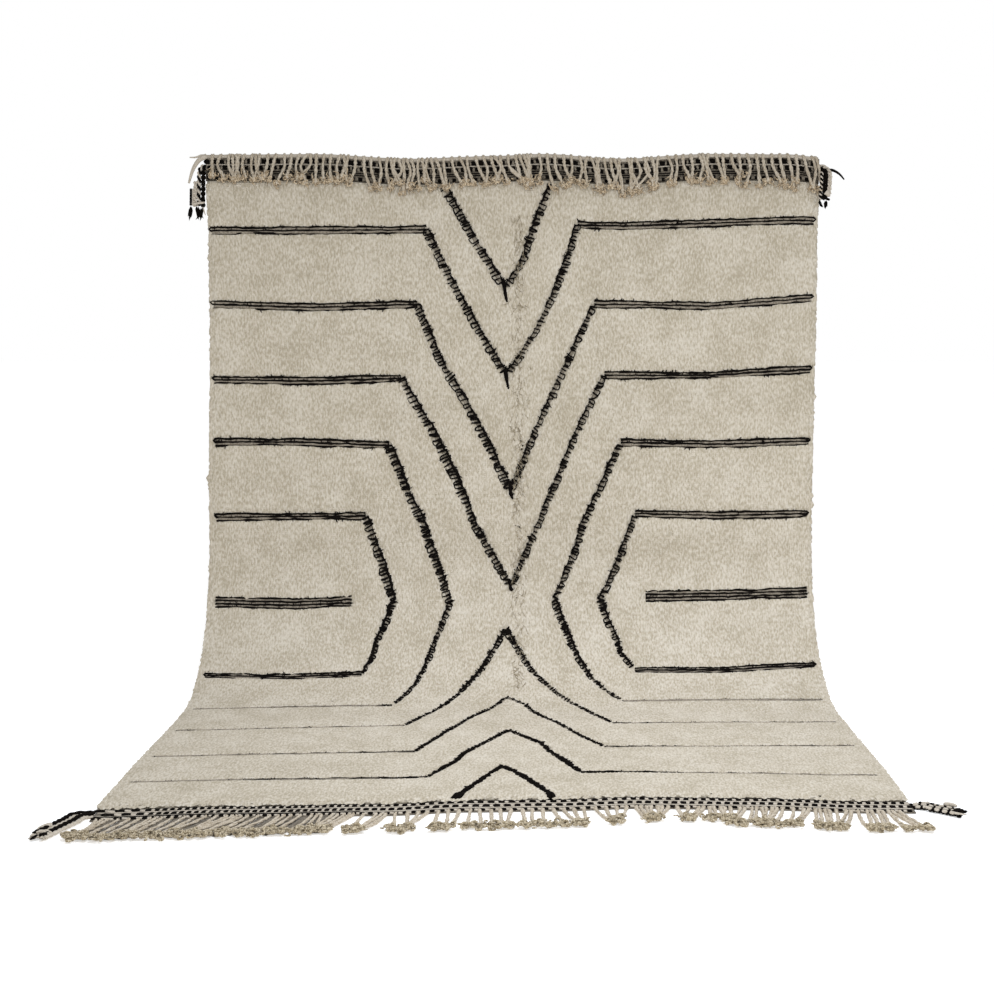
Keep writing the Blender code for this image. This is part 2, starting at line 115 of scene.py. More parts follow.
# %% Hang a flat point
def ease(share):
    """Smooth step from 0 to 1."""
    share = np.clip(share, 0.0, 1.0)
    return share * share * (3.0 - 2.0 * share)


def read(table, key, place, column):
    """Values of a column at many places between the rows of a table."""
    stops = np.array([getattr(row, key) for row in table])
    values = np.array([getattr(row, column) for row in table])
    place = np.clip(place, stops[0], stops[-1])
    row = np.clip(np.searchsorted(stops, place) - 1, 0, len(stops) - 2)
    share = ease((place - stops[row]) / (stops[row + 1] - stops[row]))
    return values[row] + share * (values[row + 1] - values[row])


def crease(distance, fold):
    return -fold.depth * np.exp(-((distance / fold.width) ** 2))


def sway(across, down):
    """How far the hanging cloth stands forward of a flat wall: slack and old fold marks."""
    slack = 0.0050 * np.sin(3.1 * across + 0.6) * np.sin(2.4 * down + 0.3)
    slack += 0.0030 * np.sin(7.3 * across - 2.2 * down)
    grown = ease((down - CREASE_START) / CREASE_GROWS)
    long_crease = crease(across - LONG_CREASE.place, LONG_CREASE) * grown
    cross_creases = sum(crease(down - fold.place, fold) for fold in CROSS_CREASES)
    return (1.0 - ease((down - SWAY_END) / SWAY_FADE)) * (slack + long_crease + cross_creases)


def hang(flat):
    """Carry flat points (across, down, height) to their places on the hanging rug."""
    across, down, height = flat[..., 0], flat[..., 1], flat[..., 2]
    straight = HANG_HEIGHT - BEND_RADIUS
    turn = np.clip((down - straight) / BEND_RADIUS, 0.0, math.pi / 2)
    run_out = np.maximum(0.0, down - straight - BEND_RADIUS * math.pi / 2)
    foot = ease((down - FOOT_WAVE_START) / (FIELD_END - FOOT_WAVE_START))
    run_out += read(WAVES, "across", across, "reach") * foot
    front = height + sway(across, down)
    y = -BEND_RADIUS * (1.0 - np.cos(turn)) - run_out - front * np.cos(turn)
    z = -np.minimum(down, straight) - BEND_RADIUS * np.sin(turn) + front * np.sin(turn)
    z += read(WAVES, "across", across, "rise") * (1.0 - ease(down / TOP_WAVE_FADE))
    return np.stack([across, y, z], axis=-1)


def hanging(down):
    """1 where the rug hangs, 0 where it lies on the floor."""
    return 1.0 - ease((down - LYING_START) / LYING_GROWS)


corner = hang(np.array([[-1.0, CLOTH_END, 0.0]]))[0]
print("front left corner of the cloth lies at", corner.round(3))

# %% [markdown]
# ## Camera
# The rug is seen from in front, a little above its bend. The lens is the one whose
# perspective makes the two sides of the rug parallel, so it fits the real width.

# %% Camera
CAMERA_PLACE = (0.0367, -5.093, -0.520)
CAMERA_DOWN = 0.1141         # radians below the level
CAMERA_LEFT = 0.0162         # radians to the left
LENS = 56.14                 # mm, on a frame 36 mm wide
camera = bpy.data.objects.new("camera", bpy.data.cameras.new("camera"))
bpy.context.scene.collection.objects.link(camera)
bpy.context.scene.camera = camera
camera.location = CAMERA_PLACE
camera.rotation_euler = (math.pi / 2 - CAMERA_DOWN, 0.0, CAMERA_LEFT)
camera.data.sensor_fit = "HORIZONTAL"
camera.data.sensor_width = 36.0
camera.data.lens = LENS
print("camera stands", round(-camera.location.y, 2), "m in front of the rug")

# %% [markdown]
# ## Wool
# All of the rug is sheep's wool, spun by hand. It is matt, with a soft sheen from the
# fibre ends, and no two handfuls have quite the same colour. Colours are written as
# sRGB hex values and turned to the linear values that the shader needs. Blender's noise
# is stretched down the rug to draw the fibres. Real fibres are 0.03 mm thick, far too
# fine to show, so they are drawn as bunches 3 to 5 mm wide and 7 to 12 mm long.


# %% Colours and nodes
def linear(text):
    """Linear colour from an sRGB hex value."""
    shares = [int(text[i:i + 2], 16) / 255 for i in (1, 3, 5)]
    return (*[s / 12.92 if s <= 0.04045 else ((s + 0.055) / 1.055) ** 2.4 for s in shares], 1.0)


def add_node(tree, kind, inputs, **settings):
    """Add one node: settings are its options, inputs its values or the sockets it follows."""
    made = tree.nodes.new(kind)
    for name, value in settings.items():
        setattr(made, name, value)
    for name, value in inputs.items():
        if isinstance(value, bpy.types.NodeSocket):
            tree.links.new(value, made.inputs[name])
        else:
            made.inputs[name].default_value = value
    return made


def wool(name, colours, patch, fibre, bump, sheen=0.10, gloss=0.12, weave=False):
    """Spun wool. patch is the size in metres of its uneven colour, fibre its bunches."""
    made = bpy.data.materials.new(name)
    made.use_nodes = True
    tree = made.node_tree
    shader = tree.nodes["Principled BSDF"]
    # The scales on each fibre scatter the light, and wool has an IOR of about 1.55.
    shader.inputs["Roughness"].default_value = 0.92
    shader.inputs["IOR"].default_value = 1.55
    shader.inputs["Specular IOR Level"].default_value = gloss
    shader.inputs["Sheen Weight"].default_value = sheen
    shader.inputs["Sheen Roughness"].default_value = 0.6
    place = add_node(tree, "ShaderNodeAttribute", {}, attribute_name="flat_place").outputs["Vector"]
    broad = add_node(tree, "ShaderNodeTexNoise", {
        "Vector": place, "Scale": 1 / patch, "Detail": 3.0, "Roughness": 0.55})
    stretched = add_node(tree, "ShaderNodeMapping", {"Vector": place, "Scale": (1.0, 0.42, 1.0)})
    fine = add_node(tree, "ShaderNodeTexNoise", {
        "Vector": stretched.outputs["Vector"], "Scale": 1 / fibre, "Detail": 2.0})
    both = add_node(tree, "ShaderNodeMix", {
        "Factor": 0.72, "A": broad.outputs["Fac"], "B": fine.outputs["Fac"]})
    ramp = add_node(tree, "ShaderNodeValToRGB", {"Fac": both.outputs["Result"]})
    low, high = ramp.color_ramp.elements
    low.position, high.position = 0.38, 0.62
    low.color, high.color = linear(colours[0]), linear(colours[2])
    ramp.color_ramp.elements.new(0.5).color = linear(colours[1])
    tree.links.new(ramp.outputs["Color"], shader.inputs["Base Color"])
    relief = add_node(tree, "ShaderNodeBump", {
        "Height": fine.outputs["Fac"], "Strength": bump, "Distance": fibre})
    if weave:
        # A wave of scale 1 repeats every 314 mm: warps 10 mm and wefts 6.4 mm apart.
        warp = add_node(tree, "ShaderNodeTexWave", {
            "Vector": place, "Scale": 31.4}, bands_direction="X")
        weft = add_node(tree, "ShaderNodeTexWave", {
            "Vector": place, "Scale": 49.1, "Distortion": 1.0}, bands_direction="Y")
        crossed = add_node(tree, "ShaderNodeMath", {
            0: warp.outputs["Fac"], 1: weft.outputs["Fac"]}, operation="MULTIPLY")
        relief = add_node(tree, "ShaderNodeBump", {
            "Height": crossed.outputs[0], "Strength": 0.6, "Distance": 0.002,
            "Normal": relief.outputs["Normal"]})
    tree.links.new(relief.outputs["Normal"], shader.inputs["Normal"])
    return made


# Cut pile, knotted by hand: matt, and a little warmer or greyer from place to place. Its
# colours lie far apart, so the fine fibre noise partly paints the small shade between
# fibres and locks as well as the wool's own uneven tone.
IVORY_PILE = wool("ivory_sheep_wool_pile", ("#A49A86", "#B7AD9B", "#C7BFB0"), 0.11, 0.0052, 0.35)
# The same wool in a plain weave, whose crossed threads show on the back.
IVORY_GROUND = wool(
    "ivory_wool_ground_weave", ("#A39985", "#B6AC9A", "#C6BEAF"), 0.11, 0.0052, 0.35, weave=True)
# Ivory pile between black rows, greyed by their fibres and darkened further as painted shade.
SHADED_PILE = wool(
    "ivory_pile_greyed_by_fibres_and_painted_shade", ("#6A6154", "#7E7567", "#92897A"), 0.02, 0.003, 0.4)
# Undyed black wool, spun tight. It swallows the light, so it has no sheen.
BLACK_YARN = wool(
    "black_sheep_wool_yarn", ("#090706", "#0D0A08", "#15110E"),
    0.05, 0.003, 0.5, sheen=0.0, gloss=0.04)
# Ivory wool, twined tight, so that its colour is more even than the pile's.
IVORY_YARN = wool("ivory_twined_wool_yarn", ("#A99F8F", "#B6AC9D", "#C2B9AB"), 0.04, 0.003, 0.4)
# Warp wool, plied hard: creamier than the pile, with darker stretches.
CREAM_CORD = wool("cream_plied_wool_cord", ("#9A8C77", "#B2A693", "#C3B9A9"), 0.05, 0.003, 0.4)
# Wool deep in the band and under the cords, where little light comes. Its dark grey colour
# is painted shade.
SHADED_YARN = wool("wool_darkened_as_painted_shade", ("#4A4339", "#665E52", "#80776A"), 0.02, 0.003, 0.5)
# Cord ends that came undone: loose wool in tan and cream, with no even colour.
TAN_FRAYS = wool("frayed_tan_wool_ends", ("#7E6C53", "#AF9B7F", "#D4C4A9"), 0.012, 0.003, 0.4)
# The same at the floor end, duller. It also paints the shade where the pile parts, in
# streaks along the old fold.
FRAYED_WOOL_AND_FOLD_SHADE = wool("frayed_cream_wool_ends_and_painted_fold_shade", ("#75674E", "#A2947A", "#C8BCA4"), 0.012, 0.003, 0.4)
print("wools:", ", ".join(made.name for made in bpy.data.materials if "wool" in made.name))

# %% [markdown]
# ## Making yarn
# Nearly everything here is a strand of some kind, so a few functions make closed tubes
# and small pointed locks along many paths at once. NumPy does the arithmetic for all of
# them together, which keeps a rug with tens of thousands of locks quick to build.


# %% Strands
def lengths(vectors):
    return np.linalg.norm(vectors, axis=-1, keepdims=True)


def spots(across, down, height):
    """Flat points from their three numbers, each one value or a whole array."""
    return np.stack(np.broadcast_arrays(across, down, height), axis=-1)


def along_path(places, stations, path):
    """Points of a path at some places, where stations are the places of its own points."""
    return np.stack([np.interp(places, stations, column) for column in path.T], axis=-1)


def directions(paths, hint):
    """Along, sideways and outward directions at each point of each path."""
    along = np.gradient(paths, axis=1)
    along /= lengths(along)
    side = np.asarray(hint, float) - along * (along @ np.asarray(hint, float))[..., None]
    side /= lengths(side)
    return along, side, np.cross(along, side)


def curved(points, count):
    """Smooth paths with count stations through the few given points of each path."""
    points = np.asarray(points, float)
    last = points.shape[1] - 1
    place = np.linspace(0.0, last, count)
    base = np.minimum(place.astype(int), last - 1)
    share = (place - base)[:, None]
    before, start, stop, after = (
        points[:, np.clip(base + step, 0, last)] for step in (-1, 0, 1, 2))
    return 0.5 * (
        2 * start + (stop - before) * share
        + (2 * before - 5 * start + 4 * stop - after) * share ** 2
        + (3 * start - before - 3 * stop + after) * share ** 3)


def twisted(paths, hint, half_side, half_out, pitch, phase):
    """The two yarns that twist round one another along each path."""
    along, side, out = directions(paths, hint)
    steps = lengths(np.diff(paths, axis=1, prepend=paths[:, :1]))
    turn = 2 * math.pi * np.cumsum(steps / pitch, axis=1) + np.reshape(phase, (-1, 1, 1))
    return [paths + sign * (side * np.cos(turn) * half_side + out * np.sin(turn) * half_out)
            for sign in (1, -1)]

# %% [markdown]
# ### Tubes and locks
# A tube is a ring of points repeated along a path, with one flat face at each end. A lock
# starts and ends in a single point, so very few faces are enough for it.


# %% Tubes and locks
def tubes(paths, hint, half_side, half_out, sides=5):
    """Points and faces of closed tubes round the paths."""
    count, rings = paths.shape[:2]
    along, side, out = directions(paths, hint)
    angle = 2 * math.pi * (np.arange(sides) + 0.5) / sides
    wide = np.broadcast_to(half_side, (count, rings))[..., None] * np.cos(angle)
    thick = np.broadcast_to(half_out, (count, rings))[..., None] * np.sin(angle)
    points = (paths[:, :, None] + side[:, :, None] * wide[..., None]
              + out[:, :, None] * thick[..., None])
    first = (np.arange(count) * rings * sides)[:, None, None]
    ring = first + (np.arange(rings - 1) * sides)[:, None]
    here, after = np.arange(sides), (np.arange(sides) + 1) % sides
    walls = np.stack([
        ring + here, ring + after, ring + sides + after, ring + sides + here], axis=-1)
    root = first[:, 0] + here[::-1]
    tip = first[:, 0] + (rings - 1) * sides + here
    return points.reshape(-1, 3), [walls.reshape(-1, 4), root, tip]


def spindles(stations, wide, thick, sides=3):
    """Small closed locks: a point, rings of the given half sizes, and a point."""
    count, rings = stations.shape[0], stations.shape[1] - 2
    along, side, out = directions(stations, (1.0, 0.03, 0.02))
    angle = 2 * math.pi * np.arange(sides) / sides - math.pi / 2
    body = stations[:, 1:-1, None] + (
        side[:, 1:-1, None] * (wide[..., None] * np.cos(angle))[..., None]
        + out[:, 1:-1, None] * (thick[..., None] * np.sin(angle))[..., None])
    points = np.concatenate([stations[:, :1], body.reshape(count, -1, 3), stations[:, -1:]], axis=1)
    first = (np.arange(count) * (rings * sides + 2))[:, None]
    here, after = np.arange(sides), (np.arange(sides) + 1) % sides
    blocks = [np.stack([first + 0 * here, first + 1 + after, first + 1 + here], axis=-1)]
    for ring in range(rings - 1):
        low, high = first + 1 + ring * sides, first + 1 + (ring + 1) * sides
        blocks.append(np.stack([low + here, low + after, high + after], axis=-1))
        blocks.append(np.stack([low + here, high + after, high + here], axis=-1))
    top, end = first + 1 + (rings - 1) * sides, first + rings * sides + 1
    blocks.append(np.stack([top + here, top + after, end + 0 * here], axis=-1))
    return points.reshape(-1, 3), [block.reshape(-1, 3) for block in blocks]


def whiskers(roots, heading, length, curl, rise, half):
    """Loose curved tufts. A heading of 0 points straight down the rug, and turns right."""
    share = np.array([0.0, 0.30, 0.72, 1.0])
    turn = heading[:, None] + curl[:, None] * share
    stations = spots(
        roots[:, :1] + length[:, None] * share * np.sin(turn),
        roots[:, 1:2] + length[:, None] * share * np.cos(turn),
        roots[:, 2:] + rise[:, None] * share * (2.0 - share))
    size = half[:, None] * np.array([1.0, 0.8])
    return spindles(stations, size, size * 0.8)

# %% [markdown]
# ### From flat work to a piece
# Many strands become one mesh, because Blender handles one large object far faster than
# thousands of small ones. Each point keeps its flat place, and the wools read that, so
# their fibres follow the rug round its bend.


# %% From flat work to a piece
def joined(parts):
    """Several sets of points and faces as one."""
    points, faces, count = [], [], 0
    for part_points, part_faces in parts:
        points.append(part_points)
        faces += [block + count for block in part_faces]
        count += len(part_points)
    return np.concatenate(points), faces


def add_piece(name, slot, *works, facing=None):
    """Hang flat work, make it one object, and let it ride on the rug's one body.

    Each work is a set of points and faces with the wool it is made of. facing gives, for
    each flat point, the direction in which it should take the light."""
    flat, faces = joined([work for work, surface in works])
    lying = flat[:, 1] > FLOOR_START
    flat[lying, 2] = np.maximum(flat[lying, 2], FLOOR_CLEAR)
    counts = [sum(len(block) for block in blocks) for (points, blocks), surface in works]
    owner = np.repeat(np.arange(len(works)), counts)
    sizes = np.concatenate([np.full(len(block), block.shape[1]) for block in faces])
    mesh = bpy.data.meshes.new(name)
    mesh.vertices.add(len(flat))
    mesh.vertices.foreach_set("co", hang(flat).astype(np.float32).ravel())
    mesh.loops.add(int(sizes.sum()))
    mesh.polygons.add(len(sizes))
    mesh.polygons.foreach_set("loop_start", (np.cumsum(sizes) - sizes).astype(np.int32))
    # Hanging mirrors a flat piece, so its corners are listed the other way round.
    corners = np.concatenate([block[:, ::-1].ravel() for block in faces])
    mesh.polygons.foreach_set("vertices", corners.astype(np.int32))
    for work, surface in works:
        mesh.materials.append(surface)
    mesh.polygons.foreach_set("material_index", owner.astype(np.int32))
    place = mesh.attributes.new("flat_place", "FLOAT_VECTOR", "POINT")
    place.data.foreach_set("vector", flat.astype(np.float32).ravel())
    mesh.update(calc_edges=True)
    mesh.shade_smooth()
    if facing is not None:
        step = 1e-4
        turned = sum(
            facing[:, axis, None] * (hang(flat + step * np.eye(3)[axis]) - hang(flat)) / step
            for axis in range(3))
        mesh.normals_split_custom_set_from_vertices((turned / lengths(turned)).tolist())
    piece = bpy.data.objects.new(name, mesh)
    bpy.context.scene.collection.objects.link(piece)
    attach(piece, "root")
    print(f"{name}: {int((sizes - 2).sum())} triangles")
    return piece

# %% [markdown]
# ### Unevenness
# Nothing made by hand repeats exactly. This smooth random surface moves rows, turns locks
# and thins yarn by small amounts. The same seed always gives the same surface.


# %% Unevenness
def soft_noise(across, down, size, seed):
    """Smooth random hills and hollows between -1 and 1, about size metres apart."""
    table = np.random.default_rng(seed).uniform(-1.0, 1.0, (64, 64))
    x, y = np.asarray(across) / size + 32.3, np.asarray(down) / size + 7.7
    column, row = np.floor(x).astype(int), np.floor(y).astype(int)
    u, v = ease(x - column), ease(y - row)
    column, right, row, below = column % 64, (column + 1) % 64, row % 64, (row + 1) % 64
    upper = table[column, row] * (1 - u) + table[right, row] * u
    lower = table[column, below] * (1 - u) + table[right, below] * u
    return upper * (1 - v) + lower * v


print("unevenness in the middle of the rug:", round(float(soft_noise(0.0, 1.4, 0.1, 5)), 2))


# %% [markdown]
# ## The black lines
# The lines are an old design of this kind of rug: chevrons that meet on the middle, and
# brackets that come in from the sides. The weaver counts them out by eye, so no two
# halves match. The chart gives each line by its corners, in centimetres across and down
# the rug, and says how boldly the yarn shows there: 1 is plain, 2 is heavy.

# %% Chart of the lines
CHEVRONS = (
    ((-21.9, 8.5, 1.3), (-12, 26, 1.2), (-2, 42, 1.5), (4, 32.5, 1.0), (6, 26, 1.6), (13.1, 8.5, 1.3)),
    ((-97.5, 23.5, 1), (-62, 23.5, 1), (-27.5, 22.5, 1.1), (-21, 36.5, 1.0), (-10.5, 55.5, 1.3),
     (-1.5, 70, 1.4), (1.5, 66, 1.0), (8.5, 55, 0.7), (13, 45.5, 0.8), (17, 36, 1.4),
     (21.5, 21.5, 1.3), (60, 21.5, 0.9), (97.5, 20, 0.9)),
    ((-97.5, 47, 1.1), (-64, 48, 1), (-30.5, 47, 1.5), (-23.5, 64.5, 1.1), (-16, 77, 1.2),
     (-9, 89.5, 1.3), (0, 108.5, 1.6), (7.5, 89.5, 0.9), (27, 47, 1.1), (65, 47.5, 0.9), (97.5, 45, 1)),
    ((-97.5, 71.5, 1), (-66, 72, 1.2), (-36, 71, 1.4), (-24.5, 90.5, 1.7), (-17.5, 105, 2.0),
     (-12, 119, 1.2), (0, 140.5, 1.2), (15, 105, 0.9), (20.5, 91, 1.1), (30.5, 70, 1.0),
     (64, 70, 1.2), (97.5, 68, 1.3)),
    ((-97.5, 221, 0.3), (-31, 214, 0.4), (-23, 196.5, 0.5), (-16.5, 184.5, 0.8), (-10, 173, 1.3),
     (-1.5, 155, 1.5), (7, 172, 0.8), (14.5, 183, 0.5), (22.5, 194, 0.3), (31, 210.5, 0.5),
     (60, 209, 0.3), (97.5, 208, 0.4)),
    ((-97.5, 246.5, 0.2), (-26, 242, 0.7), (-20, 225.5, 0.7), (-15.5, 214, 0.5), (-11, 203, 0.5),
     (-1, 186, 0.7), (4.5, 190.5, 0.6), (9, 201.5, 0.6), (15, 211.5, 0.5), (19, 221.5, 0.6),
     (27, 236.5, 0.7), (62, 235, 0.3), (97.5, 234, 0.5)),
    ((-97.5, 266.5, 0.2), (-21, 266, 0.8), (-14.5, 252.5, 1.1), (-12, 243.5, 1.2), (-7.5, 234, 0.5),
     (0, 219.5, 1.1), (2.5, 223, 0.8), (9, 233, 1.1), (11.5, 242, 0.8), (15, 250.5, 1.4),
     (19.5, 264, 1.2), (60, 264.5, 0.4), (97.5, 264, 0.4)),
    ((-12.5, 284, 1.6), (-7, 270.5, 1.2), (-1.5, 257, 1.8), (3.5, 266, 1.4), (6, 271.5, 1.3), (11, 284, 1.6)),
)
BRACKETS = (
    ((-97.5, 92, 1.2), (-70, 92, 1.3), (-40, 93, 1.6), (-34, 108.5, 1.5), (-29, 119, 1.9),
     (-25.5, 129.5, 1.5), (-20, 146, 1.3), (-24.5, 159.5, 1.2), (-27, 169, 1.2), (-30, 178.5, 0.9),
     (-36.5, 192, 0.5), (-60, 193, 0.3), (-97.5, 196, 0.2)),
    ((97.5, 91.5, 1.3), (67, 92.5, 1.1), (36, 92, 1.3), (29, 108, 1.2), (24, 118.5, 1.7),
     (21, 129, 1.2), (14.5, 145, 1.0), (19, 158, 1.5), (22, 166.5, 1.1), (26, 175.5, 0.8),
     (35, 188, 0.3), (62, 187, 0.2), (97.5, 186.5, 0.3)),
    ((-97.5, 117, 1.1), (-48, 116.5, 1.5), (-45.5, 124.5, 1.3), (-43, 131, 1.3), (-41.5, 137, 1.7),
     (-38.5, 145.5, 1.9), (-41.5, 154.5, 1.8), (-43.5, 160, 1.3), (-44.5, 166, 1.4), (-47.5, 174, 1.3),
     (-72, 175.5, 1.1), (-97.5, 175, 1.1)),
    ((97.5, 115.5, 1), (69, 116, 1.1), (41, 115.5, 1), (38, 124.5, 0.8), (36, 130, 0.9),
     (34, 135.5, 0.9), (29.5, 144.5, 1.4), (32, 152.5, 1.4), (34.5, 158.5, 1.1), (35.5, 164, 1.2),
     (40, 171.5, 1.0), (68, 171.5, 1.2), (97.5, 169, 1.2)),
)
BARS = (
    ((-97.5, 146, 1.2), (-72, 146.5, 1.2), (-52.5, 145.5, 1.2)),
    ((97.5, 142, 1.2), (72, 143, 1.2), (44.5, 143.5, 1.3)),
)
Run = namedtuple("Run", "kind corners rows")


def runs_of(line, rows):
    """Cut a line where it changes between level arms and slanting runs down or up."""
    corners = np.array(line, float) * (0.01, 0.01, 1.0)
    runs = []
    for start, stop in zip(corners, corners[1:]):
        level = abs(stop[0] - start[0]) > 2.5 * abs(stop[1] - start[1])
        kind = "level" if level else ("down" if stop[1] > start[1] else "up")
        if runs and runs[-1].kind == kind:
            runs[-1].corners.append(stop)
        else:
            runs.append(Run(kind, [start, stop], rows))
    return runs


RUNS = [run for line in CHEVRONS + BRACKETS for run in runs_of(line, 3)]
RUNS += [run for line in BARS for run in runs_of(line, 4)]
ARMS = [run for run in RUNS if run.kind == "level"]
SLANTS = [run for run in RUNS if run.kind != "level"]


def line_distance(across, down, runs):
    """Distance of many flat points from the nearest of the lines."""
    nearest = np.full(np.shape(across), 9.0)
    for run in runs:
        for start, stop in zip(run.corners, run.corners[1:]):
            reach = stop[:2] - start[:2]
            right, ahead = across - start[0], down - start[1]
            share = np.clip((right * reach[0] + ahead * reach[1]) / (reach @ reach), 0, 1)
            gap = np.hypot(right - share * reach[0], ahead - share * reach[1])
            nearest = np.minimum(nearest, gap)
    return nearest


print(len(ARMS), "level arms and", len(SLANTS), "slanting runs of black line")

# %% [markdown]
# ## The woven ground
# Under the wool is a plain weave of warp and weft. It is one closed sheet: a front that
# dips under the black lines, a flat back and the edges between them. The front is thick,
# because the feet of the locks are packed so close that they fill it, and only their
# ends stay loose. The back needs half as many points, so one back point serves two.

# %% The woven ground
GROUND_STEP = 0.0096         # between the points of the front


def around(index):
    """The outer points of a grid, in order."""
    return np.concatenate([index[0, :-1], index[:-1, -1], index[-1, :0:-1], index[:0:-1, 0]])


def ground_sheet(start, stop, left, right, front_height, back_height=0.0, step=GROUND_STEP):
    """A closed sheet of cloth between two places down the rug."""
    rows = 2 * max(1, int(round((stop - start) / step / 2))) + 1
    columns = 2 * int(round(1.0 / step)) + 1
    down = np.broadcast_to(np.linspace(start, stop, rows)[:, None], (rows, columns))
    share = np.linspace(0.0, 1.0, columns)[None, :]
    across = -left(down) * (1 - share) + right(down) * share
    front = spots(across, down, front_height(across, down))
    back = spots(across, down, back_height)[::2, ::2]
    upper = np.arange(rows * columns).reshape(rows, columns)
    lower = upper.size + np.arange(back[..., 0].size).reshape(back.shape[:2])
    blocks = []
    for grid, turn in ((upper, 1), (lower, -1)):
        quads = np.stack([grid[:-1, :-1], grid[:-1, 1:], grid[1:, 1:], grid[1:, :-1]], axis=-1)
        blocks.append(quads.reshape(-1, 4)[:, ::turn])
    rim, under = around(upper), around(lower)
    middle, after = rim[1::2], np.roll(rim, -2)[::2]
    blocks.append(np.stack([rim[::2], under, np.roll(under, -1), after, middle], axis=-1))
    return np.concatenate([front.reshape(-1, 3), back.reshape(-1, 3)]), blocks


def field_left(down):
    return read(EDGES, "down", down, "left")


def field_right(down):
    return read(EDGES, "down", down, "right")


def line_groove(across, down):
    """How deep the pile is parted by a black line: 1 on the line, 0 away from it."""
    width = 0.0075 + 0.0115 * hanging(down)
    return np.exp(-((line_distance(across, down, RUNS) / width) ** 2))


GROUND_TOP = 0.0163          # just under the ends of the locks


def ground_height(across, down):
    """Front of the ground: lower along the black lines and at the sides."""
    edge = np.minimum(across + field_left(down), field_right(down) - across)
    shoulder = 1.0 - ease(np.minimum(edge, FIELD_END - down) / 0.016)
    felt = 0.0003 * soft_noise(across, down, 0.030, 15)
    return GROUND_TOP + felt - 0.0066 * line_groove(across, down) - 0.0060 * shoulder


work = ground_sheet(FIELD_START, FIELD_END, field_left, field_right, ground_height)
ground = add_piece("woven_ground", "ivory_pile", (work, IVORY_GROUND))
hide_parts("pile_field")

# %% [markdown]
# ## Locks of ivory pile
# Each knot leaves a lock of wool about 25 mm long that leans down the rug, because the
# weaver combs it that way, and gravity keeps it there. A lock is a small closed spindle,
# and only its loose end shows. The rows stand 13 mm apart, a little more than on the real
# rug, to keep their number down, and each lock is that much wider. Where a lock would
# fall over a black line it stays away, so that the line lies in a groove. Along the old
# fold the locks are ruffled.

# %% Locks of ivory pile
KNOT_ROW = 0.0132            # from one row of knots to the next
KNOT_STEP = 0.0110           # from one knot to the next
LOCK_THICK = 0.0022
LOCK_TILT = 0.70             # how round a hanging lock looks; flat felt would be 0
# A lock at some shares of its length: how deep it lies under its top there.
LOCK_SHAPE = ((0.0, 0.0062), (0.25, LOCK_THICK), (0.70, LOCK_THICK - 0.0001), (1.0, 0.0046))
LOCK_PIECES = 4
LOOM_HALF = 1.03             # knots are laid out this far to each side, then cut to the rug
FIRST_ROW = FIELD_START + 0.004
LAST_ROW = FIELD_END - 0.002
SIDE_KNOT = 0.0045           # one straight column of knots stands this far from each side
SIDE_ZONE = 0.0046           # and the locks within this much belong to it
chance = np.random.default_rng(21)


def knot_places():
    """Across and down of every ivory knot."""
    rows = np.linspace(FIRST_ROW, LAST_ROW, int((LAST_ROW - FIRST_ROW) / KNOT_ROW) + 1)
    columns = int(2 * LOOM_HALF / KNOT_STEP)
    share = (np.arange(columns)[None, :] + 0.5 * (np.arange(len(rows)) % 2)[:, None]) / columns
    across = -LOOM_HALF + 2 * LOOM_HALF * share + chance.normal(0.0, 0.0022, share.shape)
    down = rows[:, None] + chance.normal(0.0, 0.0026, share.shape)
    down = down + 0.006 * soft_noise(across, down, 0.07, 5)
    inside = (across > -field_left(down) + 0.002) & (across < field_right(down) - 0.002)
    inside &= (down > FIELD_START + 0.001) & (down < FIELD_END - 0.001)
    # One straight column of knots closes each side of the pile.
    side_down = np.arange(FIELD_START + 0.002, FIELD_END - 0.006, 0.0085)
    across = np.concatenate([
        across[inside], SIDE_KNOT - field_left(side_down), field_right(side_down) - SIDE_KNOT])
    return across, np.concatenate([down[inside], side_down, side_down])


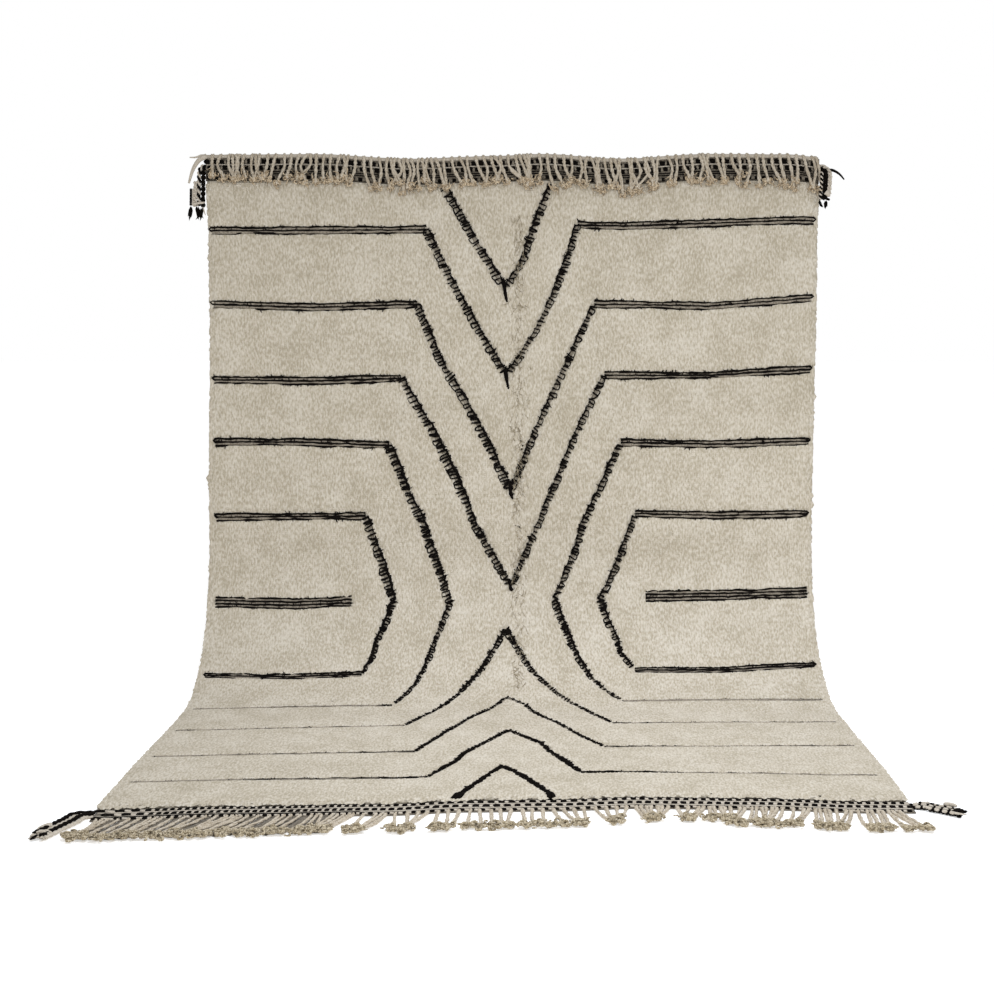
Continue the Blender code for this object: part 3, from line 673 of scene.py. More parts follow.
def ivory_locks():
    """Stations and half sizes of the ivory locks, laid out flat."""
    across, down = knot_places()
    count = len(across)
    edge = np.minimum(across + field_left(down), field_right(down) - across)
    at_side = edge < SIDE_ZONE
    hung = hanging(down)
    swirl = 0.30 * soft_noise(across, down, 0.060, 8) + 0.20 * soft_noise(across, down, 0.021, 9)
    swirl += chance.normal(0.0, 0.16, count)
    by_crease = np.exp(-(((across - LONG_CREASE.place) / 0.016) ** 2)) * hung
    swirl += by_crease * chance.normal(0.0, 0.45, count)
    swirl = np.where(at_side, 0.0, swirl)
    reach = 0.025 * chance.uniform(0.80, 1.25, count) * (0.70 + 0.30 * hung)
    top = PILE_TOP - 0.0004 + 0.0004 * soft_noise(across, down, 0.16, 12)
    # A few locks in a hundred stand out of the felted mass and throw a small shadow.
    loose = chance.uniform(0, 1, count) < 0.035
    top += (chance.normal(0.0, 0.00022, count) * (0.5 + 0.5 * hung)
            + by_crease * chance.normal(0.0, 0.0006, count))
    top += np.where(loose, 0.0008, 0.0) * (0.4 + 0.6 * hung)
    low = np.minimum(edge, FIELD_END - 0.010 - down)
    top -= 0.0030 * line_groove(across, down) + 0.0040 * (1.0 - ease(low / 0.015))
    tip_across, tip_down = across + reach * np.sin(swirl), down + reach * np.cos(swirl)
    keep = np.ones(count, bool)
    for share, room in ((0.0, 1.0), (0.5, 0.9), (1.0, 0.8)):
        at_across = across + share * (tip_across - across)
        at_down = down + share * (tip_down - down)
        keep &= line_distance(at_across, at_down, ARMS) > room * (0.0062 + 0.0098 * hung)
        keep &= line_distance(at_across, at_down, SLANTS) > room * (0.0085 + 0.0065 * hung)
    keep |= at_side & (tip_down < FIELD_END)
    right, ahead = np.sin(swirl), np.cos(swirl)
    stations = np.stack([
        spots(across + along * reach * right, down + along * reach * ahead, top - drop)
        for along, drop in LOCK_SHAPE], axis=1)
    bulk = chance.uniform(0.80, 1.20, count)[:, None]
    wide, thick = bulk * (0.0098, 0.0106), np.full((count, 2), LOCK_THICK)
    tilt = LOCK_TILT * np.array([
        (0, -0.5), (0, -0.1), (-1, 0), (1, 0), (0, 0.1), (-1, 0.2), (1, 0.2), (0, 1)])
    tilt = tilt * (np.where(loose, 1.25, 1.0) * (0.60 + 0.40 * hung))[:, None, None]
    turn = np.stack([ahead, -right, right, ahead], axis=-1).reshape(-1, 2, 2)
    facing = np.concatenate([tilt @ turn, np.ones((count, 8, 1))], axis=-1)
    return stations[keep], wide[keep], thick[keep], facing[keep]


stations, wide, thick, facing = ivory_locks()
order = np.argsort(stations[:, 0, 1], kind="stable")
for number, chosen in enumerate(np.array_split(order, LOCK_PIECES), start=1):
    work = spindles(stations[chosen], wide[chosen], thick[chosen])
    add_piece(
        f"ivory_locks_{number}", "ivory_pile", (work, IVORY_PILE),
        facing=facing[chosen].reshape(-1, 3))
print(len(order), "locks of ivory wool")

# %% [markdown]
# ## Pile parted along the fold
# An old fold runs down the middle of the rug. The pile parts there, and tanner wool from
# deep in it shows in thin streaks, darkened as painted shade of the parting. Each streak
# is a small pointed lock laid on the pile. They are scattered by a bell curve, so that
# they are closest together along the fold.

# %% Pile parted along the fold
STREAKS = 420
STREAK_SPREAD = 0.0135       # half of them lie within 9 mm of their middle
parting = np.random.default_rng(88)
roots = spots(
    parting.normal(LONG_CREASE.place - 0.004, STREAK_SPREAD, STREAKS),
    parting.uniform(0.17, 1.80, STREAKS), PILE_TOP + 0.0002)
parted = whiskers(
    roots, parting.normal(0, 0.16, STREAKS), parting.uniform(0.010, 0.036, STREAKS),
    parting.normal(0, 0.5, STREAKS), np.zeros(STREAKS), parting.uniform(0.0006, 0.0013, STREAKS))
# Painted shade of the parting: dark tan streaks laid on top of the pile.
add_piece("parted_pile_shade_along_the_fold", "ivory_pile", (parted, FRAYED_WOOL_AND_FOLD_SHADE))

# %% [markdown]
# ## Rows of black yarn
# A level arm of a line is three rows of black knots, clipped short, with the ivory
# ground between them. A bar at the side has four rows, and a faint arm only two. The
# first two rows of an arm turn into each other at the side of the rug. On a slanting
# run every row of the weave leaves one short slanting knot of black yarn, so that the run
# looks like a small ladder. Some knots join at their lower ends, and the upper border is
# the heaviest. Fibres stand out of every row, so small black tufts are scattered along it.

# %% Rows of black yarn
BLACK_HEIGHT = 0.0125        # middle of the black yarn above the woven back
BLACK_HALF = 0.0037          # half its thickness
ROW_GAP = 0.0108             # from one black row of an arm to the next
FAINT = 0.7                  # an arm less bold than this is faint
ARM_ROWS = (-ROW_GAP, 0.0, ROW_GAP)
BAR_ROWS = (-0.0173, -0.0058, 0.0058, 0.0173)
FAINT_ROWS = (-0.0035, 0.0050)
BETWEEN_ARM_ROWS = (-0.5 * ROW_GAP, 0.5 * ROW_GAP)
BETWEEN_BAR_ROWS = (-0.0115, 0.0, 0.0115)


def follow(corners, across):
    """Place down the rug and boldness of a level arm at some places across it."""
    corners = np.array(sorted(map(tuple, corners)))
    return (np.interp(across, corners[:, 0], corners[:, column]) for column in (1, 2))


def arm_rows(run, number):
    """Paths and half sizes of the black rows of a level arm."""
    low, high = sorted((run.corners[0][0], run.corners[-1][0]))
    offsets = BAR_ROWS if run.rows == 4 else ARM_ROWS
    across = np.linspace(low, high, max(6, int((high - low) / 0.011)))
    down, weight = follow(run.corners, across)
    if weight.mean() < FAINT:
        offsets = FAINT_ROWS
    made = []
    for row, offset in enumerate(offsets):
        closer = 1.0 - 0.40 * np.clip(soft_noise(across, down, 0.07, 200 + number), 0, 1)
        path_down = down + offset * closer
        path_down = path_down + 0.0018 * soft_noise(across, path_down, 0.028, 3 * number + row)
        path_down = path_down + 0.0013 * soft_noise(across, path_down, 0.010, 90 + row)
        uneven = 1.0 + 0.45 * soft_noise(across, path_down, 0.016, 60 + row + number)
        if row == len(offsets) - 1 and run.rows == 3:
            worn = 0.85 + 1.3 * soft_noise(across, down, 0.035, 77 + number)
            uneven = uneven * np.clip(worn, 0.25, 1.0)
        half = BLACK_HALF * np.clip(0.35 + 0.65 * weight, 0.5, 1.2) * uneven
        height = BLACK_HEIGHT + 0.0022 * np.clip(weight - 0.5, -0.5, 0.6) * (1.0 - hanging(down))
        height = height + 0.0008 * soft_noise(across, path_down, 0.025, 5 + row)
        made.append((spots(across, path_down, height), half))
    if run.rows == 3 and len(offsets) == 3:
        side = -1 if abs(low) > abs(high) else 1
        first, second = made[0], made[1]
        if side < 0:
            first, second = (first[0][::-1], first[1][::-1]), (second[0][::-1], second[1][::-1])
        middle = 0.5 * (first[0][-1] + second[0][-1]) + (side * 0.006, 0.0, 0.0)
        path = np.concatenate([first[0], middle[None], second[0][::-1]])
        half = np.concatenate([first[1], [BLACK_HALF], second[1][::-1]])
        made = [(path, half), made[2]]
    return made

# %% [markdown]
# ### Slanting runs
# Every rung of the ladder gets its own width, tilt, bow and thickness, because equal rungs
# would look made by a machine. Some are linked to the next at their lower ends.


# %% Slanting runs
def ladder(run, seed):
    """Slanting knots of black yarn down a run, and its heavier upper border."""
    generator = np.random.default_rng(seed)
    corners = np.array(sorted(run.corners, key=lambda corner: corner[1]))
    rungs = max(4, int(round((corners[-1, 1] - corners[0, 1]) / 0.0106)))
    spacing = np.cumsum(generator.uniform(0.55, 1.45, rungs + 1))
    down = corners[0, 1] + (corners[-1, 1] - corners[0, 1]) * (spacing[:-1] - 0.5) / spacing[-1]
    centre = np.interp(down, corners[:, 1], corners[:, 0]) + generator.normal(0, 0.0011, rungs)
    weight = np.interp(down, corners[:, 1], corners[:, 2]) + generator.normal(0, 0.14, rungs)
    # A run that goes down to the right has its upper side on the right, and the other way round.
    upper = np.where(np.gradient(centre) > 0, 1.0, -1.0)
    hung = hanging(down)
    weight = weight + 0.30 * soft_noise(centre, down, 0.045, seed)
    half = (0.0080 + 0.0036 * weight) * (0.62 + 0.38 * hung) * generator.uniform(0.66, 1.16, rungs)
    half = half * np.where(upper > 0, 1.0, 0.84)
    tilt = np.where(upper > 0, 0.0046, 0.0030) + generator.normal(0, 0.0022, rungs)
    bow = generator.normal(0, 0.0014, rungs)
    size = BLACK_HALF * np.clip(0.84 + 0.32 * weight, 0.6, 1.5)
    size = size * generator.uniform(0.75, 1.1, rungs)
    share = np.array([1.0, 0.4, -0.4, -1.0])
    across = centre[:, None] + upper[:, None] * half[:, None] * share
    height = BLACK_HEIGHT + 0.0016 + generator.normal(0, 0.0006, (rungs, 1))
    place = down[:, None] - tilt[:, None] * share + bow[:, None] * (1 - share ** 2)
    knots = curved(spots(across, place, height), 6)
    taper = np.array([0.8, 1.0, 1.05, 0.95, 0.85, 0.60])
    knot_half = size[:, None] * taper * (1.0 + 0.20 * generator.normal(0, 1, (rungs, 6)))
    linked = np.flatnonzero(generator.uniform(0, 1, rungs - 1) < 0.46)
    start, stop = knots[linked, -1], knots[linked + 1, -1]
    middle = start * 0.5 + stop * 0.5 - spots(upper[linked] * 0.0022, 0.0, 0.0)
    links = curved(np.stack([start, middle, stop], axis=1), 4)
    link_half = size[linked, None] * generator.uniform(0.35, 0.8, (len(linked), 1))
    link_half = np.repeat(link_half, 4, axis=1)
    side = upper * half * (0.40 + 0.40 * hung)
    border = spots(centre + side, down, BLACK_HEIGHT + 0.0022)
    thick_border = 0.80 * weight - 0.40 + 0.45 * (1.0 - hung) * weight
    thick_border = thick_border + generator.normal(0, 0.40, rungs)
    return (knots, np.clip(knot_half, 0.0006, 0.006)), (links, link_half), (
        border, BLACK_HALF * np.clip(thick_border, 0.15, 1.5))

# %% [markdown]
# ### Loose fibres and the wool between
# Short fibres stand out of the black yarn, which softens its outline. The ivory wool
# between two black rows is full of them, so it looks grey, and its colour is darker still
# as painted shade between the rows.


# %% Loose fibres and the wool between
def black_tufts(path, half, spacing, seed, up=True):
    """Loose fibre ends that stand out from a black row, mostly up the rug."""
    generator = np.random.default_rng(seed)
    count = max(2, int(lengths(np.diff(path, axis=0)).sum() / spacing))
    at = generator.uniform(0, len(path) - 1, count)
    roots = along_path(at, np.arange(len(path)), path)
    bulk = np.interp(at, np.arange(len(path)), half)
    heading = generator.normal(math.pi if up else 0.0, 0.75, count)
    length = generator.uniform(0.004, 0.011, count) * np.clip(bulk / BLACK_HALF, 0.5, 1.4)
    return whiskers(
        roots, heading, length, generator.normal(0, 0.7, count),
        generator.uniform(0.0, 0.0035, count), bulk * generator.uniform(0.25, 0.55, count))


def row_between(run, offset, half):
    """Ivory wool between two black rows, greyed by their fibres and darkened as painted shade."""
    low, high = sorted((run.corners[0][0], run.corners[-1][0]))
    across = np.linspace(low + 0.004, high - 0.004, max(6, int((high - low) / 0.02)))
    down, weight = follow(run.corners, across)
    path = spots(across, down + offset, BLACK_HEIGHT - 0.0006)
    return tubes(path[None], (0, 0, 1), 0.0022, half, sides=6)

# %% [markdown]
# ### Work all the lines
# Now each line of the chart is worked with these functions. The thin rows on the woven
# back follow the same paths, so the two faces of the rug agree.


# %% Work all the lines
def back_row(path):
    """A black line shows on the woven back as one thin row."""
    thin = path[::3] * (1.0, 1.0, 0.0)
    return tubes(thin[None], (0, 0, 1), 0.0012, 0.0030, sides=4)


arm_work, slant_work, back_work, between_work = [], [], [], []
stray_heading = np.random.default_rng(77)
for number, run in enumerate(ARMS):
    bold = np.mean([corner[2] for corner in run.corners]) >= FAINT
    offsets = BETWEEN_BAR_ROWS if run.rows == 4 else BETWEEN_ARM_ROWS if bold else (0.0,)
    for offset in offsets:
        between_work.append(row_between(run, offset, 0.0052 if bold else 0.0070))
    for row, (path, half) in enumerate(arm_rows(run, number)):
        arm_work.append(tubes(path[None], (0, 0, 1), half[None] * 0.8, half[None]))
        arm_work.append(black_tufts(path, half, 0.0095, 500 + 7 * number + row, up=row == 0))
        if path[:, 1].max() < BACK_SEEN:
            back_work.append(back_row(path))
for number, run in enumerate(SLANTS):
    (knots, half), (links, link_half), (border, border_half) = ladder(run, 400 + number)
    by_down = sorted(run.corners, key=lambda corner: corner[1])
    # Grey wool under each run: greyed by fibres, and darkened as painted shade.
    inner = border * (1.0, 1.0, 0.0) + (0.0, 0.0, BLACK_HEIGHT - 0.0008)
    inner[:, 0] = np.interp(
        border[:, 1], [corner[1] for corner in by_down], [corner[0] for corner in by_down])
    width = 0.0050 * (0.55 + 0.45 * hanging(inner[None, :, 1]))
    between_work.append(tubes(inner[None], (0, 0, 1), 0.0020, width, sides=6))
    slant_work.append(tubes(knots, (0, 0.05, 1), half * 0.8, half, sides=4))
    if len(links):
        slant_work.append(tubes(links, (0, 0.05, 1), link_half * 0.8, link_half, sides=4))
    slant_work.append(tubes(border[None], (0, 0, 1), border_half[None] * 0.8, border_half[None]))
    slant_work.append(black_tufts(border, border_half + 0.002, 0.0080, 800 + number))
    ends = knots[:, -1][::2]
    slant_work.append(whiskers(
        ends, stray_heading.normal(0, 1.6, len(ends)),
        stray_heading.uniform(0.004, 0.009, len(ends)),
        stray_heading.normal(0, 0.7, len(ends)), stray_heading.uniform(0, 0.002, len(ends)),
        stray_heading.uniform(0.0008, 0.0016, len(ends))))
    if border[:, 1].max() < BACK_SEEN:
        back_work.append(back_row(inner))

# %% [markdown]
# ### Points and feet
# Where the two sides of an upper chevron meet, the yarns bunch in a heavy point. The
# lowest chevron stands the other way up, and its sides run out over the edge of the pile.

# %% Points and feet
# The upper chevrons end in a heavy point: across, down and length of each.
POINTS = ((-0.02, 0.425, 0.038), (-0.015, 0.705, 0.040), (0.0, 1.090, 0.018), (0.0, 1.410, 0.006))
for across, down, length in POINTS:
    stub = curved([[
        (across - 0.002, down - 0.026, BLACK_HEIGHT),
        (across - 0.001, down - 0.006, BLACK_HEIGHT + 0.003),
        (across + 0.003, down + 0.5 * length, BLACK_HEIGHT + 0.004),
        (across + 0.007, down + length, BLACK_HEIGHT + 0.004)]], 16)
    half = np.interp(np.linspace(0, 1, 16), (0, 0.3, 0.8, 1), (0.0090, 0.0068, 0.0050, 0.0026))
    half = half * (1.0 + 0.30 * soft_noise(stub[0, :, 0], stub[0, :, 1], 0.008, 71))
    slant_work.append(tubes(stub, (0, 0, 1), half[None] * 0.7, half[None]))
    slant_work.append(black_tufts(stub[0], half, 0.006, 900 + int(1000 * down)))

# The lowest chevron runs out over the front edge of the pile: across, and how far it leans.
FEET = ((-0.109, -0.016), (-0.118, -0.012), (-0.126, -0.014), (0.103, 0.006), (0.111, 0.010))
for across, lean in FEET:
    foot = curved([[
        (across, 2.815, BLACK_HEIGHT), (across + 0.3 * lean, 2.836, BLACK_HEIGHT + 0.002),
        (across + 0.8 * lean, 2.850, BLACK_HEIGHT - 0.002), (across + lean, 2.8525, 0.0050)]], 10)
    half = np.interp(np.linspace(0, 1, 10), (0, 0.3, 0.8, 1), (0.0040, 0.0062, 0.0060, 0.0030))
    slant_work.append(tubes(foot, (1, 0, 0), half[None], half[None]))
black_pieces = [
    add_piece("ivory_between_black_rows", "ivory_pile", (joined(between_work), SHADED_PILE)),
    add_piece("black_arm_rows", "ivory_pile", (joined(arm_work), BLACK_YARN)),
    add_piece("black_slanting_runs", "ivory_pile", (joined(slant_work), BLACK_YARN)),
    add_piece("black_rows_on_the_back", "ivory_pile", (joined(back_work), BLACK_YARN)),
]

# %% [markdown]
# ## The twined bands
# Each end is closed by a flat band. Two yarns, a black and an ivory one, twist round
# each other across the warps. Where the black one passes over the warps it leaves a
# check, and between two checks the ivory one shows. So a row is one low ivory tube with
# a slanting black spindle for each check. In the top band the ivory between checks is
# grey, painted shade under the cords that fall over it, and the weave under both bands is
# dark grey, painted shade deep in the band. How long a check is depends on how hard the
# weaver twists, so it changes across the rug.

# %% The twined bands
BAND_HALF_TOP = 0.990        # half the width of the top band
BAND_HALF_FLOOR = 1.006      # and of the bottom one
# A twined row: its place, half the height of a check, half its length as a share of the
# pitch, how far the row is shifted, and the slant of its checks.
Twine = namedtuple("Twine", "down tall long phase slant")
# From one check to the next, across each band.
Check = namedtuple("Check", "across top floor")
CHECKS = (
    Check(-1.00, 0.024, 0.050),
    Check(-0.93, 0.023, 0.034),
    Check(-0.86, 0.023, 0.018),
    Check(-0.50, 0.024, 0.0175),
    Check(-0.30, 0.023, 0.021),
    Check(-0.05, 0.023, 0.026),
    Check(0.20, 0.024, 0.026),
    Check(0.35, 0.023, 0.022),
    Check(1.00, 0.023, 0.021),
)
Band = namedtuple("Band", "name start stop half_width column twines lines pale_lines")
BANDS = (
    Band(
        "top_band", 0.0, FIELD_START - SEAM_GAP, BAND_HALF_TOP, "top",
        (Twine(0.0185, 0.0084, 0.47, 0.0, 0.20), Twine(0.0375, 0.0080, 0.46, 0.45, 0.20),
         Twine(0.0690, 0.0068, 0.34, 0.20, 0.0)),
        (0.0505, 0.0570), (0.0275,)),
    Band(
        "bottom_band", FIELD_END + SEAM_GAP, CLOTH_END, BAND_HALF_FLOOR, "floor",
        (Twine(FIELD_END + 0.0150, 0.0104, 0.38, 0.0, 0.30),
         Twine(FIELD_END + 0.0440, 0.0118, 0.40, 0.55, 0.30),
         Twine(FIELD_END + 0.0745, 0.0088, 0.36, 0.20, 0.30)),
        (FIELD_END + 0.0605,), (FIELD_END + 0.0290, FIELD_END + 0.0580)),
)
print("twined rows in the bands:", [len(band.twines) for band in BANDS])

# %% [markdown]
# ### Checks and yarns of a band
# A row of checks steps across the band by the pitch of the table. A plain yarn has no
# checks. It runs from the left side to the right one, or only as far as a stop.


# %% Checks and yarns of a band
def check_places(band, twine):
    across, places, pitches = -band.half_width + 0.006, [], []
    pitch = float(read(CHECKS, "across", across, band.column))
    across += pitch * twine.phase
    while across < band.half_width - 0.006:
        pitch = float(read(CHECKS, "across", across, band.column))
        places.append(across)
        pitches.append(pitch)
        across += pitch
    return np.array(places), np.array(pitches)


def check_row(band, twine, height, seed, thick=0.0026):
    """Black checks of one row, as short slanting spindles with their middle at a height."""
    generator = np.random.default_rng(seed)
    across, pitch = check_places(band, twine)
    down = twine.down + generator.normal(0, 0.0006, len(across))
    long = pitch * twine.long * generator.uniform(0.85, 1.12, len(across))
    tall = twine.tall * generator.uniform(0.85, 1.10, len(across))
    share = np.array([-1.0, -0.62, 0.62, 1.0])
    stations = spots(
        across[:, None] + long[:, None] * share,
        down[:, None] + twine.slant * long[:, None] * share, height)
    wide = np.repeat(tall[:, None], 2, axis=1) * 0.98
    return upright_spindles(stations, wide, np.full_like(wide, thick), sides=6)


def upright_spindles(stations, tall, thick, sides):
    """Spindles that run across the rug: tall is their half size down it."""
    turned = stations[..., [1, 0, 2]]
    points, faces = spindles(turned, tall, thick, sides)
    return points[:, [1, 0, 2]], [block[:, ::-1] for block in faces]


def band_yarn(band, down, half, height, seed, thick=0.0022, stop=None):
    """One yarn that runs across a band from its left side, to the right side or a stop."""
    end = band.half_width - 0.004
    across = np.linspace(-end, end if stop is None else stop, 180)
    path = spots(
        across, down + 0.0008 * soft_noise(across, 0 * across, 0.03, seed),
        height + 0.0003 * np.sin(across / 0.004))
    return tubes(path[None], (0, 1, 0), half, thick, sides=5)

# %% [markdown]
# ### Both bands
# One loop makes both ends. The top one gets checks on its back too, where they can be
# seen, and a thick ivory yarn along its upper edge.

# %% Both bands
band_sheets, band_yarns = [], []
for number, band in enumerate(BANDS):
    width, at_top = band.half_width, number == 0
    work = ground_sheet(
        band.start, band.stop, lambda down: width + 0 * down, lambda down: width + 0 * down,
        lambda across, down: 0.0046, back_height=0.0018)
    # The weave shows dark grey between the checks: painted shade deep in the band.
    band_sheets.append(add_piece(band.name + "_weave", "warp_cord", (work, SHADED_YARN)))
    black, grey, pale = [], [], []
    for row, twine in enumerate(band.twines):
        between = twine._replace(
            phase=twine.phase + 0.5, long=0.30 if at_top else 0.42, tall=twine.tall * 0.72)
        black.append(check_row(band, twine, 0.0058, 300 + 10 * number + row))
        # At the top the ivory between checks is grey: painted shade under the cords that fall over the band.
        (grey if at_top else pale).append(
            check_row(band, between, 0.0050, 320 + 10 * number + row))
        if at_top:
            black.append(check_row(band, between._replace(long=0.36), 0.0012, 340 + row))
    half, stop = (0.0019, None) if at_top else (0.0013, -0.36)
    black += [band_yarn(band, down, half, 0.0052, 37, 0.0016, stop) for down in band.lines]
    pale += [band_yarn(band, down, 0.0022, 0.0046, 38 + at)
             for at, down in enumerate(band.pale_lines)]
    if at_top:
        pale.append(band_yarn(band, band.start + 0.0015, 0.0062, 0.0045, 39, thick=0.0052))
    band_yarns.append(add_piece(
        band.name + "_twining", "twined_wool",
        (joined(black), BLACK_YARN), (joined(pale), IVORY_YARN),
        *([(joined(grey), SHADED_PILE)] if grey else [])))
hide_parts("top_band_fringe")
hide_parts("bottom_band_fringe")

# %% [markdown]
# ## The fringe
# The warp cords run out of both ends of the cloth. At the top they turn over the end
# and fall in front of the band. At the bottom they lie on the floor in clumps, and on
# the left on a mat of old wool whose dark colour is painted shade. Each is two yarns
# twisted together, and its tip comes undone in small curls. The cords start from the same
# places and random draws as the solids.

# %% Fringe cords
STRANDS = 76                 # cords of one end, before some are doubled
FIRST_STRAND = 0.965         # the outer cords are this far from the middle
KNOT_HALF = 0.0072           # half the width of the knot near a cord's end, as in the solids
STRAND_STRAY = 0.0024        # how unevenly the cords leave the band
# The mat is dark grey: painted shade under the cords.
MAT_END = -0.42              # the mat of old wool reaches from the left side to here
PLY_HINT = (1, 0.02, 0.03)   # a direction that no cord runs along
# How the cords of each end fall: how far they lean for each metre, and their length.
Fall = namedtuple("Fall", "across top_lean top_length floor_lean floor_length")
FALLS = (
    Fall(-1.00, 0.05, 0.085, -0.34, 0.150),
    Fall(-0.70, -0.12, 0.088, -0.48, 0.158),
    Fall(-0.35, 0.10, 0.104, -0.34, 0.136),
    Fall(-0.05, 0.26, 0.096, 0.00, 0.155),
    Fall(0.15, 0.10, 0.106, 0.15, 0.130),
    Fall(0.45, 0.12, 0.110, -0.12, 0.100),
    Fall(0.70, 0.16, 0.092, -0.36, 0.155),
    Fall(0.90, 0.22, 0.100, -0.08, 0.155),
    Fall(1.00, 0.02, 0.120, 0.34, 0.160),
)
# Clumps of cords on the floor: the cords in reach are drawn to the centre by a share.
Gather = namedtuple("Gather", "centre reach share")
GATHERS = (
    Gather(-0.43, 0.045, 0.55), Gather(-0.33, 0.045, 0.70), Gather(-0.235, 0.045, 0.70),
    Gather(-0.15, 0.035, 0.65), Gather(0.17, 0.035, 0.80), Gather(0.265, 0.05, 0.75),
    Gather(0.36, 0.045, 0.65), Gather(0.45, 0.045, 0.75), Gather(0.56, 0.045, 0.60),
    Gather(0.66, 0.045, 0.40), Gather(0.80, 0.05, 0.55), Gather(0.885, 0.03, 0.75),
    Gather(0.985, 0.04, 0.90),
)
print(STRANDS, "cords at each end, and", len(GATHERS), "clumps on the floor")

# %% [markdown]
# ### Lay out the cords
# Each cord has a root on the band, a length and a lean. The tables give their slow changes
# across the rug, and small random draws make neighbours differ.


# %% Lay out the cords
def strands(kind, seed):
    """Root, length, lean and knot of every cord of one end."""
    draws = random.Random(seed)
    pitch = 2 * FIRST_STRAND / (STRANDS - 1)
    roots = [-FIRST_STRAND + pitch * index + draws.uniform(-STRAND_STRAY, STRAND_STRAY)
             for index in range(STRANDS)]
    low, high = (0.92, 1.08) if kind == "top" else (0.90, 1.05)
    rows = []
    for root in roots:
        length = float(read(FALLS, "across", root, kind + "_length")) * draws.uniform(low, high)
        lean = float(read(FALLS, "across", root, kind + "_lean")) * length
        lean += draws.uniform(-STRAND_STRAY, STRAND_STRAY)
        rows.append((root, length, lean, KNOT_HALF * draws.uniform(0.88, 1.08)))
    return np.array(rows).T

# %% [markdown]
# ### Undone tips
# At the tips the twist has come out. Curved tufts make the brush, and three quarters of
# a ring makes each curl.


# %% Undone tips
def brush(tips, heading, spread, count, seed, long=0.022, thick=0.0028):
    """The undone wool at the tips of the cords."""
    generator = np.random.default_rng(seed)
    roots = np.repeat(tips, count, axis=0)
    total = len(roots)
    stray_by = np.broadcast_to(spread, (total, 1)) * (1.0, 0.8, 0.0) + (0.0, 0.0, 0.0018)
    roots = roots + generator.normal(0, 1, roots.shape) * stray_by
    return whiskers(
        roots, np.repeat(heading, count) + generator.normal(0, 0.95, total),
        generator.uniform(0.45, 1.0, total) * long, generator.normal(0, 2.2, total),
        generator.normal(0.002, 0.003, total), generator.uniform(0.5, 1.0, total) * thick)


def doubled(rows, chosen, gap):
    """Lay a second cord beside some of the cords of one end."""
    more = rows[:, chosen].copy()
    more[0] += gap
    more[1] *= 0.95
    return np.concatenate([rows, more], axis=1)


def curls(tips, spread, count, seed, size=0.0072, thick=0.0031):
    """Small rolled curls of undone wool, each three quarters of a ring."""
    generator = np.random.default_rng(seed)
    centres = np.repeat(tips, count, axis=0)
    total = len(centres)
    spread = np.broadcast_to(spread, total)
    centres = centres + generator.normal(0, 1, (total, 3)) * spots(spread, spread * 0.8, 0.0022)
    round_by = generator.uniform(0, 6.3, (total, 1)) + np.linspace(0, 4.6, 6)
    radius = size * generator.uniform(0.55, 1.15, (total, 1)) * np.linspace(1.0, 0.6, 6)
    lean = generator.normal(0, 0.55, (total, 1))
    paths = centres[:, None] + spots(
        radius * np.cos(round_by), radius * np.sin(round_by) * np.cos(lean),
        radius * np.sin(round_by) * np.sin(lean))
    half = thick * generator.uniform(0.7, 1.15, (total, 1)) * np.array([0.6, 1, 1, 1, 0.9, 0.5])
    return tubes(paths, (0.1, 0.1, 1.0), half, half, sides=4)

# %% [markdown]
# ### Two-ply cords
# Two thin tubes wound round one path show the twist in the outline as well as in the
# shading, which a bump on one thick tube could not.


# %% Two-ply cords
def cords(stops, stations, seed, size=1.0):
    """Two-ply cords through the stops of their paths."""
    phase = np.random.default_rng(seed).uniform(0, 6, stops.shape[0])
    paths = curved(stops, stations)
    size = np.reshape(size, (-1, 1))
    plies = twisted(
        paths, PLY_HINT, 0.0027 * size[..., None], 0.0021 * size[..., None], 0.026, phase)
    return paths, joined([
        tubes(ply, PLY_HINT, 0.0040 * size, 0.0038 * size, sides=5) for ply in plies])

# %% [markdown]
# ### Top fringe
# The cords come up behind the band, turn over its edge and fall in front of it.

# %% Top fringe
stray = np.random.default_rng(51)
rows = strands("top", 11)
rows = doubled(rows, stray.uniform(0, 1, STRANDS) < 0.30, 0.0110)
root, length, lean, knot = rows
total = len(root)
length = length * stray.uniform(0.80, 1.06, total)
front = PILE_TOP + 0.0025 + knot
bow, swing = stray.normal(0, 0.0055, total), stray.normal(0, 0.0125, total)
top_stops = np.stack([spots(*stop) for stop in (
    (root, 0.014, -0.0022),
    (root, 0.002, -0.0028),
    (root, -0.0032, 0.0030),
    (root + lean * 0.03, -0.0018, 0.0095),
    (root + lean * 0.12 + bow * 0.5, 0.010, 0.0125),
    (root + lean * 0.45 + bow, length * 0.42, 0.0155),
    (root + lean * 0.85 + swing * 0.7, length * 0.80, front),
    (root + lean + swing, length * 0.97, front - 0.001),
)], axis=1)
top_paths, cord_work = cords(top_stops, 17, 52)
heading = np.arctan2(lean, length)
fray_work = joined([
    curls(top_paths[:, -1] - (0, 0.003, 0.000), 0.0048, 8, 61),
    brush(top_paths[:, -1] - (0, 0.006, 0.000), heading, 0.0050, 6, 62, long=0.026, thick=0.0036)])
top_fringe = [
    add_piece("top_fringe_cords", "warp_cord", (cord_work, CREAM_CORD)),
    add_piece("top_fringe_frays", "warp_cord", (fray_work, TAN_FRAYS)),
]
